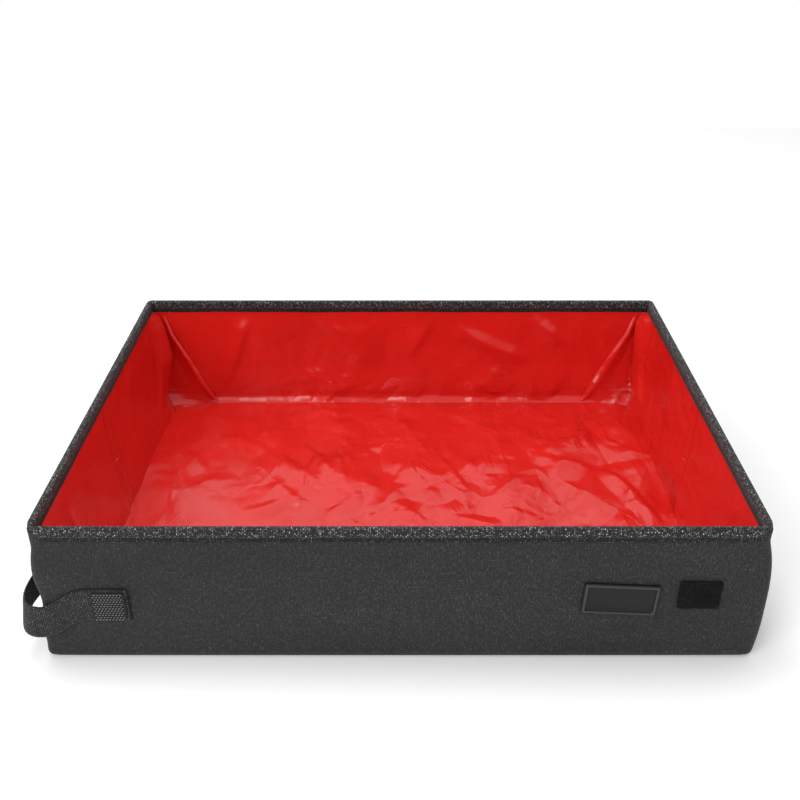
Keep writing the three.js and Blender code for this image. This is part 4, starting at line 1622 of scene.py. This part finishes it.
@dataclass
class FilmBag:
    """The loose waterproof film: floor, walls, and the webs of its spare length in the corners."""

    finishes: Finishes
    thickness: float = 0.22
    half_x: float = 196.8
    half_y: float = 146.8
    top: float = 88.0
    floor_height: float = 2.1
    floor_half_x: float = 193.0
    floor_half_y: float = 145.4
    floor_step: float = 1.45
    hidden_step: float = 3.2
    hidden_from: float = -40.0
    floor_edge: Flat = (186.0, 142.0)
    floor_calm: float = 0.45
    wall_step: float = 1.7
    wall_rows: int = 54
    long_rows: int = 50
    end_columns: int = 80
    crease_columns: int = 17
    web_rows: int = 64
    web_columns: int = 34
    lowest: float = 0.8
    near_floor: float = 10.0
    near_rows: int = 9
    foot_level: float = 0.9
    foot_end: Flat = (2.4, 0.75)
    foot_reach: float = 4.8
    foot_rise: float = 6.0
    foot_flat: float = 0.65
    crease_split: float = 40.0
    crease_mark: float = 1.2
    floor_fold_share: float = 0.9
    floor_dip: float = 0.85
    rear_gain: float = 0.45
    film_gap: float = 0.3
    squash_keep: float = 0.08
    lean_top: float = 80.0
    steepness: float = 1.7
    web_cut: Flat = (50.0, 95.0)
    web_area: float = 2800.0

    def heights(self) -> Array:
        """The heights of an end film's rows, closer together near the floor."""
        near = np.linspace(self.lowest, self.near_floor, self.near_rows)
        return np.concatenate([near, np.linspace(near[-1], self.top, self.wall_rows)[1:]])

    def floor_rise(self, x: Array, y: Array) -> Array:
        """The height of the floor's film over its lie: calmer at the left, stronger at the back.

        Args:
            x: Places on the floor.
            y: Places on the floor.

        Returns:
            The height at each place.
        """
        calm = self.floor_calm + (1 - self.floor_calm) * smoothstep(*CALM_UNTIL, x)
        patches = calm * np.clip(0.55 + 0.6 * np.sin(x / 33 + 0.4) * np.cos(y / 27 - 0.7), 0.1, 1.0)
        wide, *close = FLOOR_CRUMPLES
        height = wide.rise(x, y) * calm
        for crumple in close:
            height += crumple.rise(x, y) * patches
        height *= 1 + self.rear_gain * smoothstep(-20.0, 60.0, y)
        for fold in FLOOR_FOLDS:
            height += self.floor_fold_share * fold.rise(x, y)
        edge = np.minimum(self.floor_edge[0] - np.abs(x), self.floor_edge[1] - np.abs(y))
        return np.maximum(height * smoothstep(-2.0, 13.0, edge), -self.floor_dip)

    def wall_rise(self, folds: Sequence[Fold], seed: int, along: Array, up: Array) -> Array:
        """How far a wall's film stands in off its wall.

        Args:
            folds: The placed folds, along the wall and up it.
            seed: The seed of its facets.
            along: Places along the wall.
            up: Their heights.

        Returns:
            The film's rise off the wall.
        """
        wide = Crumple(spacing=30.0, height=1.1, seed=seed, turn=1.1, stretch=1.7)
        close = Crumple(spacing=12.0, height=0.22, seed=seed + 1, turn=0.4, stretch=1.5)
        rise = 0.6 + wide.rise(along, up)
        rise += close.rise(along, up)
        for fold in folds:
            rise += fold.rise(along, up)
        return np.maximum(rise, 0.0) * smoothstep(SIZES.tape_foot + 1.5, SIZES.tape_foot - 17.0, up)

    def lean(self, end: FilmEnd, along: Array, level: Array) -> Array:
        """How far an end's film stands in from its wall, from the floor's edge up."""
        fade = np.clip(1 - level / self.lean_top, 0, 1) ** self.steepness
        return end.floor_reach(along) * fade

    def make(self, name: str, points: Array, node: str | None = None,
             turned: bool = False) -> bpy.types.Object:
        """Makes a piece of film.

        Args:
            name: Its name.
            points: Its points, by column and row.
            node: The node whose place it takes.
            turned: True if its faces have to be turned round.

        Returns:
            The piece with its thickness and material.
        """
        film = new_object(name, points, grid_faces(*points.shape[:2]))
        if turned:
            film.data.flip_normals()
        thicken(film, self.thickness)
        dress(film, self.finishes.film)
        if node:
            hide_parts(node)
        log.info("%s: %d points", film.name, len(film.data.vertices))
        return film

    def ride(self, film: bpy.types.Object, body: Body) -> None:
        """Lets a piece of film ride on a body, with a mesh of its own."""
        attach(film, body.value)
        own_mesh(film)

    def build_floor(self) -> None:
        """Builds the film of the floor, which runs on under the walls' film."""
        half_x, half_y, split = self.floor_half_x, self.floor_half_y, self.hidden_from
        x = np.linspace(-half_x, half_x, int(2 * half_x / self.floor_step) + 1)
        y = np.concatenate([
            np.linspace(-half_y, split, int((half_y + split) / self.hidden_step) + 1)[:-1],
            np.linspace(split, half_y, int((half_y - split) / self.floor_step) + 1),
        ])
        grid_x, grid_y = np.meshgrid(x, y, indexing="ij")
        points = np.stack([grid_x, grid_y, self.floor_height + self.floor_rise(grid_x, grid_y)], -1)
        floor = self.make("floor_film", points, "floor_liner")
        self.ride(floor, Body.BACK)

    def build_long_wall(self, sign: int, folds: Sequence[Fold], seed: int) -> None:
        """Builds the film of the front or back wall with the soft turn at its foot.

        Args:
            sign: 1 for the back, -1 for the front.
            folds: Its placed folds, seen from inside the box.
            seed: The seed of its facets.
        """
        side, body = ("back", Body.BACK) if sign > 0 else ("front", Body.FRONT)
        turns = np.linspace(0, math.pi / 2, 7)
        ramp, flat = np.linspace(0, 1, len(turns)), self.foot_flat
        steep = flat * ramp + (1 - flat) * (1 - np.cos(turns))
        foot_up = self.foot_level + self.foot_rise * steep
        rows = np.linspace(foot_up[-1], self.top, self.long_rows)[1:]
        further, lower = self.foot_end
        up = np.concatenate([[lower], foot_up, rows])
        foot_in = self.foot_reach * (flat * (1 - ramp) + (1 - flat) * (1 - np.sin(turns)))
        inset = np.concatenate([[self.foot_reach + further], foot_in, np.zeros(len(rows))])
        columns = np.linspace(-self.half_x, self.half_x, int(2 * self.half_x / self.wall_step) + 1)
        along, level = np.meshgrid(columns, up, indexing="ij")
        over_foot = 0.25 + 0.75 * smoothstep(4.0, 18.0, level)
        rise = self.wall_rise(folds, seed, along, level) * over_foot
        low = level < self.foot_rise + 2
        reach = 0.2 + 0.8 * smoothstep(184.0, 150.0, np.abs(along))
        points = np.empty((*along.shape, 3))
        points[..., 0] = sign * along
        points[..., 1] = sign * (self.half_y - inset[None, :] * reach - rise)
        wave = 0.3 * np.sin(along / 19.0) + 0.2 * np.sin(along / 6.1)
        points[..., 2] = level + np.where(low, wave, 0)
        film = self.make(f"{side}_film", points, f"{side}_liner")
        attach(film, body.value)

    def build_end_half(self, end: FilmEnd, body: Body, rear: int, folds: Sequence[Fold],
                       seed: int) -> None:
        """Builds the film of one half of an end wall.

        Args:
            end: The end of the box.
            body: The half's body.
            rear: 1 for the rear half, -1 for the front one.
            folds: The placed folds, along Y towards the corner and up.
            seed: The seed of its facets.
        """
        up = self.heights()
        edge_in, edge_along = end.edge(up)
        start = SIZES.crease_reach
        share = np.linspace(0, 1, self.end_columns)[:, None]
        along = start + (edge_along[None, :] - start) * share
        level = np.broadcast_to(up[None, :], along.shape)
        corner = smoothstep(20.0, 0.0, edge_along[None, :] - along)
        seam = smoothstep(0.0, 7.0, along - start)
        inward = self.lean(end, along, level) * (1 - corner) + edge_in[None, :] * corner
        inward = inward + self.wall_rise(folds, seed, along, level) * (1 - corner) * seam
        points = np.stack([end.side * (self.half_x - inward), rear * along, level], -1)
        half = body.value.removesuffix("_wall")
        film = self.make(f"{half}_film", points, f"{half}_liner", end.side * rear > 0)
        self.ride(film, body)

    def build_crease(self, end: FilmEnd, name: str, rear: Body) -> None:
        """Builds the strip of film over an end wall's middle crease.

        Args:
            end: The end of the box.
            name: The end's name.
            rear: The rear half's body.
        """
        reach, side, heights = SIZES.crease_reach, end.side, self.heights()
        split = int(np.searchsorted(heights, self.crease_split))
        for part, levels in (("foot", heights[:split + 1]), ("crease", heights[split:])):
            across = np.linspace(reach + 1.0, -reach - 1.0, self.crease_columns)
            along, level = np.meshgrid(across, levels, indexing="ij")
            lean = self.lean(end, along, level)
            tuck = np.where(np.abs(along) > reach, -0.06, 0.0)
            off_line = np.abs(along - 0.8 * np.sin(level / 7)) / 2.6
            mark = self.crease_mark * np.clip(1 - off_line, 0, 1)
            mark = mark * (smoothstep(4.0, 20.0, level) * smoothstep(86.0, 78.0, level))
            points = np.stack([side * (self.half_x - lean - tuck - mark), along, level], -1)
            film = self.make(f"{name}_{part}_film", points, turned=side < 0)
            if part == "foot":
                self.ride(film, rear)
            else:
                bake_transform(film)

    def web_ridge(self, level: Array) -> Array:
        """The line off the long wall on which a web's spare film is pinched, at each height."""
        off = np.interp(level, WEB_LEVELS, WEB_STAND_OFF)
        return np.stack([np.interp(level, WEB_LEVELS, WEB_RIDGE), self.half_y - off, level], -1)

    def web_pocket(self, end: FilmEnd, rear: int, level: Array) -> Array:
        """The hollow of film between the end wall's upright edge and the web's ridge.

        Args:
            end: The end of the box.
            rear: 1 at the back wall, -1 at the front.
            level: The heights of its points, from the top.

        Returns:
            Its points, from the edge to the ridge.
        """
        edge_in, edge_along = end.edge(level)
        edge = np.stack([self.half_x - edge_in, edge_along, level], -1)
        share, up = np.linspace(0, 1, self.web_columns)[:, None], level[None, :]
        late = (share ** (1 + 1.6 * np.clip(1 - up / 22.0, 0, 1)))[..., None]
        pocket = edge[None] * (1 - late) + self.web_ridge(level)[None] * late
        hollow = 4 * share * (1 - share)
        crumple = Crumple(spacing=9.0, height=0.8, seed=40 + end.side + 3 * rear, turn=0.3,
                          stretch=1.5)
        crush = crumple.rise(30 * share + 0 * up, up + 0 * share)
        sink = hollow * (np.interp(level, POCKET_LEVELS, POCKET_DEPTHS)[None, :] + crush)
        ripple = 0.5 * np.sin(up * 1.3 + 3 * share) * hollow
        pocket[..., 0] += 0.8 * sink
        pocket[..., 1] += 0.6 * sink + ripple * np.exp(-(((up - 22) / 11) ** 2))
        limit = np.array([self.half_x, self.half_y]) - self.film_gap
        pocket[..., :2] = np.minimum(pocket[..., :2], limit)
        return pocket

    def web_flap(self, end: FilmEnd, level: Array) -> list[Array]:
        """The flap at a web's ridge, which rolls forwards and turns under.

        Args:
            end: The end of the box.
            level: The heights of its points, from the top.

        Returns:
            Its columns of points, from the ridge on.
        """
        ridge, none = self.web_ridge(level), np.zeros_like(level)
        off = np.interp(level, WEB_LEVELS, WEB_STAND_OFF)
        width = end.flap * np.interp(level, WEB_LEVELS, WEB_FLAP)
        flap = ridge + np.stack([-width, 0.5 * (level < 80), none], -1)
        under = flap + np.stack([none + 0.6, np.maximum(0.2, off - 1.0), none], -1)
        rolled = np.stack([none, -1.5 * smoothstep(84.0, 60.0, level), none], -1)
        rows = [ridge * (1 - part) + flap * part + rolled * math.sin(math.pi * part)
                for part in np.linspace(0.12, 1, 9)]
        return [*rows, (flap + under) / 2, under]

    def build_web(self, end: FilmEnd, name: str, body: Body, rear: int) -> None:
        """Builds the web of spare film across a corner: a pocket, a pinched ridge and its flap.

        Args:
            end: The end of the box.
            name: The corner's name.
            body: The long wall's body.
            rear: 1 at the back wall, -1 at the front.
        """
        level = np.linspace(self.top, self.lowest, self.web_rows)
        rows = [*self.web_pocket(end, rear, level), *self.web_flap(end, level)]
        film = self.make(f"{name}_web", np.stack(rows) * (end.side, rear, 1),
                         turned=end.side * rear < 0)
        self.ride(film, body)

    def build(self) -> None:
        """Builds every piece of film."""
        self.build_floor()
        self.build_long_wall(1, BACK_FOLDS, 21)
        self.build_long_wall(-1, FRONT_FOLDS, 24)
        for end, name in ((LEFT_END, "left"), (RIGHT_END, "right")):
            rear, front = Body[f"{name}_REAR".upper()], Body[f"{name}_FRONT".upper()]
            self.build_end_half(end, rear, 1, END_REAR_FOLDS, 33 + 6 * end.side)
            self.build_end_half(end, front, -1, END_FRONT_FOLDS, 53 + 6 * end.side)
            self.build_crease(end, name, rear)
            self.build_web(end, f"{name}_rear", Body.BACK, 1)
            self.build_web(end, f"{name}_front", Body.FRONT, -1)


# ---------------------------------------------------------------- handle


@dataclass
class Handle:
    """The carrying handle: webbing sewn flat on the front, looped round the corner.

    Its middle line runs straight from end to leave on the front, hangs over the corner through sag
    and belly, and runs straight again on the side. Where it hangs past swing_from it leans.
    """

    finishes: Finishes
    width: float = 22.0
    thickness: float = 1.4
    lean: float = 2.2
    swing_from: float = 199.2
    swing_reach: float = 14.8
    samples: int = 300
    across: int = 34
    rib_pitch: float = 1.3
    rib_height: float = 0.07
    front_end: Point = (-150.2, -150.1, 40.0)
    front_leave: Point = (-173.5, -150.1, 40.0)
    sag: Point = (-200.5, -151.6, 29.0)
    belly: Point = (-212.6, -136.0, 32.2)
    side_leave: Point = (-200.1, -92.0, 35.5)
    side_end: Point = (-200.1, -70.0, 35.5)
    front_pull: float = 10.35
    turn_pull: float = 9.9
    back_pull: float = 23.7

    def middle_line(self) -> Array:
        """The webbing's middle line.

        Returns:
            Evenly spaced points from the front end round to the side end.
        """
        front_end, leave, sag, belly, side_leave, side_end = (np.array(point) for point in (
            self.front_end, self.front_leave, self.sag, self.belly, self.side_leave, self.side_end))
        third = np.array([self.front_pull, 0, 0])
        turn, back = np.array([0, self.turn_pull, 0]), np.array([0, self.back_pull, 0])
        beziers = [
            (leave, leave - third, sag + third, sag),
            (sag, sag - third, belly - turn, belly),
            (belly, belly + back, side_leave - turn, side_leave),
        ]
        steps = np.linspace(0, 1, 60)[:, None]
        rest = 1 - steps
        path = [front_end + (leave - front_end) * steps]
        path += [a * rest**3 + 3 * b * rest**2 * steps + 3 * c * rest * steps**2 + d * steps**3
                 for a, b, c, d in beziers]
        path.append(side_leave + (side_end - side_leave) * steps)
        line = np.concatenate(path)
        apart = np.linalg.norm(np.diff(line, axis=0), axis=1) > 1e-6
        line = line[np.concatenate([[True], apart])]
        runs = walked(line)
        even = np.linspace(0, runs[-1], self.samples)
        return np.stack([np.interp(even, runs, line[:, k]) for k in range(3)], 1)

    def build(self) -> None:
        """Builds the webbing as a closed band with rounded edges."""
        line = self.middle_line()
        tangent = np.gradient(line, axis=0)
        tangent[:, 2] = 0
        tangent /= np.linalg.norm(tangent, axis=1)[:, None]
        outward = np.stack([-tangent[:, 1], tangent[:, 0], np.zeros(len(line))], 1)
        swing = np.clip((-line[:, 0] - self.swing_from) / self.swing_reach, 0, 1)
        runs = walked(line)
        rise = np.linspace(-1, 1, self.across)
        crown = np.sqrt(np.clip(1 - np.abs(rise) ** 14, 0, 1)) * self.thickness / 2
        loop_rise = np.concatenate([rise, rise[::-1][1:-1]])
        loop_side = np.concatenate([crown, -crown[::-1][1:-1]])
        points = np.empty((len(line), len(loop_rise), 3))
        ribs = self.rib_height * np.sin(2 * math.pi * runs / self.rib_pitch)
        for k, (up, side) in enumerate(zip(loop_rise, loop_side)):
            off = side + np.sign(side) * ribs - self.lean * up * swing
            points[:, k] = line + outward * off[:, None]
            points[:, k, 2] = line[:, 2] + up * self.width / 2
        uv = cloth_map(runs, loop_rise * self.width / 2)
        strap = new_object("handle_webbing", points, tube_faces(*points.shape[:2]), uv)
        dress(strap, self.finishes.webbing)
        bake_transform(strap)
        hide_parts("handle_strap")
        log.info("handle: %d points, %.0f mm long", points.size // 3, runs[-1])


# ---------------------------------------------------------------- patches


FORWARD = (0.0, -1.0, 0.0)
PLATE_PROFILE = ((0.0, 0.0), (0.0, 1.2), (0.2, 1.45), (0.7, 1.5), (1.0, 1.6), (1.2, 1.85),
                 (1.5, 1.9), (1.8, 1.85), (2.0, 1.6), (2.1, 1.2), (2.3, 0.9), (3.0, 0.8))


@dataclass(frozen=True)
class Patch:
    """A rounded rectangle on the front: its middle (X and Z), size, corner radius and back's Y."""

    centre: Flat
    size: Flat
    radius: float
    back: float
    tilt: float = 0.0

    def stacked(self, name: str, profile: Sequence[Flat]) -> bpy.types.Object:
        """A closed piece of rounded outlines, one for each point of a profile.

        Args:
            name: The piece's name.
            profile: The inset and the distance from the back of each outline.

        Returns:
            The closed piece.
        """
        turn = math.radians(self.tilt)
        rings = []
        for inset, stand in profile:
            ring = Ring(self.size[0] / 2 - inset, self.size[1] / 2 - inset,
                        max(0.15, self.radius - inset), 6)
            place, _ = ring.at(np.linspace(0, ring.whole, 121)[:-1])
            x = place[:, 0] * math.cos(turn) - place[:, 1] * math.sin(turn) + self.centre[0]
            z = place[:, 0] * math.sin(turn) + place[:, 1] * math.cos(turn) + self.centre[1]
            rings.append(np.stack([x, np.full_like(x, self.back - stand), z], 1))
        return new_object(name, np.concatenate(rings), tube_faces(len(rings), len(rings[0])))

    def plate(self, name: str, thickness: float, edge: float) -> bpy.types.Object:
        """A plate with a soft face edge.

        Args:
            name: The piece's name.
            thickness: Its thickness towards -Y.
            edge: The rounding of its face's edge.

        Returns:
            The closed piece.
        """
        profile = [(0.0, 0.0), (0.0, thickness - edge)]
        profile += [(edge * (1 - math.cos(turn)), thickness - edge + edge * math.sin(turn))
                    for turn in np.linspace(0, math.pi / 2, 5)[1:]]
        return self.stacked(name, profile)

    def border(self, inset: float, face: float) -> tuple[Array, Array]:
        """A path round the patch for its stitches.

        Args:
            inset: The distance from its edge.
            face: The Y of its face.

        Returns:
            The path's points and outward directions.
        """
        ring = Ring(self.size[0] / 2 - inset, self.size[1] / 2 - inset, 0.5, 3)
        place, _ = ring.at(ring.stations(0.0, ring.whole, 1.5, 0.3))
        points = np.column_stack([place[:, 0] + self.centre[0], np.full(len(place), face),
                                  place[:, 1] + self.centre[1]])
        return points, np.tile(FORWARD, (len(points), 1))


@dataclass
class FrontPatches:
    """The hook patch on the handle, the loop patch and the rubber plate on the front."""

    finishes: Finishes
    hook_patch: Patch = Patch((-161.2, 40.0), (19.0, 19.0), 2.0, -150.9)
    hook_base: float = 0.6
    hook: Thread = Thread(0.7, 0.55, 0.5)
    hook_pitch: float = 1.6
    stitch: Thread = Thread(1.9, 0.2, 0.4)
    stitch_pitch: float = 2.6
    seam_inset: float = 0.9
    loop_patch: Patch = Patch((165.4, 46.9), (22.9, 18.8), 1.1, -149.3)
    loop_base: float = 0.7
    loop: Thread = Thread(0.9, 0.7, 0.12)
    loop_density: float = 3.2e6
    label_plate: Patch = Patch((121.8, 44.0), (42.0, 21.0), 1.3, -149.3, -3.0)
    crown_rows_from: int = 3
    crown_rows_to: int = 7

    def build_hooks(self) -> None:
        """Builds the hook patch on the handle's end: backing, rows of hooks and its seam."""
        patch, pitch = self.hook_patch, self.hook_pitch
        backing = patch.plate("hook_backing", self.hook_base, 0.3)
        dress(backing, self.finishes.hook)
        face = patch.back - self.hook_base
        reach = patch.size[0] / 2 - self.seam_inset - 1.0
        tall = patch.size[1] / 2 - 0.4
        rows = []
        for index, level in enumerate(np.arange(-tall, tall + 0.01, pitch)):
            shift = 0.5 * pitch * (index % 2)
            along = np.array([-reach + shift, reach - 0.5 * pitch + shift])
            row = np.column_stack([patch.centre[0] + along, np.full(2, face),
                                   np.full(2, patch.centre[1] + level)])
            rows.append((row, np.tile(FORWARD, (2, 1))))
        hooks = self.hook.rows("hooks", rows, pitch, self.finishes.hook_tip)
        seam = self.stitch.rows("hook_stitches", [patch.border(self.seam_inset, face)],
                                self.stitch_pitch, self.finishes.thread)
        for piece in (backing, hooks, seam):
            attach(piece, Body.FRONT.value)
        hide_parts("hook_patch")

    def build_loops(self) -> None:
        """Builds the loop patch: its backing and its pile."""
        backing, carrier = (self.loop_patch.plate(name, self.loop_base, 0.4)
                            for name in ("loop_backing", "loop_carrier"))
        dress(backing, self.finishes.loop)
        pile = self.loop.grow("loop_pile", carrier, PILE, self.finishes.loop,
                              Density=self.loop_density, Lean=0.9, Seed=4)
        for piece in (backing, pile):
            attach(piece, Body.FRONT.value)
        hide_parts("loop_patch")

    def build_plate(self) -> None:
        """Builds the rubber plate with its raised rim, paler and glossier on the rim's crown."""
        plate = self.label_plate.stacked("rubber_plate", PLATE_PROFILE)
        dress(plate, self.finishes.rubber)
        plate.data.materials.append(self.finishes.paler_crown)
        sides = len(plate.data.polygons) - 2
        around = sides // (len(PLATE_PROFILE) - 1)
        for face in plate.data.polygons:
            on_crown = self.crown_rows_from <= face.index // around <= self.crown_rows_to
            face.material_index = int(on_crown and face.index < sides)
        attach(plate, Body.FRONT.value)
        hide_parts("label_plate")

    def build(self) -> None:
        """Builds the three pieces."""
        self.build_hooks()
        self.build_loops()
        self.build_plate()
        log.info("hook patch, loop patch and rubber plate")


# ---------------------------------------------------------------- boards


def dress_boards(finishes: Finishes) -> None:
    """Gives the boards inside the walls, which stay as packed, their material.

    Args:
        finishes: The box's materials.
    """
    names = [f"{wall}_board_{half}" for wall in ("front", "back") for half in ("left", "right")]
    names += [f"{end}_{half}_board" for end in ("left", "right") for half in ("front", "rear")]
    for name in names:
        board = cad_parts[name]
        board = bpy.data.objects[board] if isinstance(board, str) else board
        if not board.material_slots:
            board.data.materials.append(finishes.board)
        board.material_slots[0].material = finishes.board
    log.info("boards: %d", len(names))


# ---------------------------------------------------------------- studio


@dataclass
class Studio:
    """Camera, lamps, floor and background, in metres."""

    location: Point = (0.0, -0.57193, 0.40991)
    pitch_down: float = 29.548
    lens: float = 44.592
    floor_reach: float = 1.05
    floor_drop: float = 0.0002
    shade_light: float = 0.8

    def build(self) -> None:
        """Builds the studio."""
        self.build_camera()
        self.build_world()
        self.build_floor()
        self.lamp("top", (-0.2, 0.1, 1.4), (0.0, 0.03, 0.0), size=0.5, power=6.7)
        self.lamp("back", (-0.15, 1.15, 1.1), (0.0, 0.0, 0.0), size=1.2, power=2.6)
        self.lamp("front", (-0.7, -1.0, 0.85), (0.0, 0.05, 0.04), size=0.7, power=8.8)
        bpy.context.scene.view_settings.view_transform = "Standard"
        log.info("studio")

    def build_camera(self) -> None:
        """Places the camera where the photograph was taken from."""
        data = bpy.data.cameras.new("camera")
        data.lens, data.sensor_width = self.lens, 36.0
        data.clip_start, data.clip_end = 0.01, 50.0
        camera = linked("camera", data)
        camera.location = self.location
        camera.rotation_euler = Euler((math.radians(90 - self.pitch_down), 0, 0))
        bpy.context.scene.camera = camera

    def lamp(self, name: str, place: Point, target: Point, size: float, power: float) -> None:
        """Adds a soft square lamp.

        Args:
            name: Its name.
            place: Where it stands.
            target: What it faces.
            size: Its side.
            power: Its power in watts.
        """
        data = bpy.data.lights.new(name, "AREA")
        data.shape, data.size, data.energy = "SQUARE", size, power
        lamp = linked(name, data)
        lamp.location = place
        lamp.rotation_euler = (Vector(target) - Vector(place)).to_track_quat("-Z", "Y").to_euler()

    def build_world(self) -> None:
        """Makes the background white to the camera and in reflections, and a soft grey light."""
        world = bpy.data.worlds.new("studio")
        world.use_nodes = True
        bpy.context.scene.world = world
        wiring = Wiring(world.node_tree)
        rays = wiring.node("ShaderNodeLightPath").outputs
        seen = wiring.math("MAXIMUM", rays["Is Camera Ray"], wiring.math(
            "MAXIMUM", rays["Is Glossy Ray"], rays["Is Transmission Ray"]))
        wiring.feed(world.node_tree.nodes["Background"].inputs, {
            "Color": (1, 1, 1, 1), "Strength": wiring.span(seen, 0.0, 1.0, self.shade_light, 1.0)})

    def build_floor(self) -> None:
        """Lays the pale floor, which keeps the box's shadow."""
        square = np.array([(-1, -1, 0), (1, -1, 0), (1, 1, 0), (-1, 1, 0)])
        floor = new_object("floor", square * self.floor_reach / METRES, [(0, 1, 2, 3)])
        floor.location.z = -self.floor_drop
        floor.data.materials.append(Finish("studio floor", (0.93, 0.93, 0.93), 0.9, 0.1).start()[0])


def main() -> None:
    """Builds the box's looks and the studio round it."""
    finishes = Finishes()
    Studio().build()
    for section in (OuterCloth, RimTape, FilmBag, Handle, FrontPatches):
        section(finishes).build()
    dress_boards(finishes)


if __name__ == "__main__":
    main()
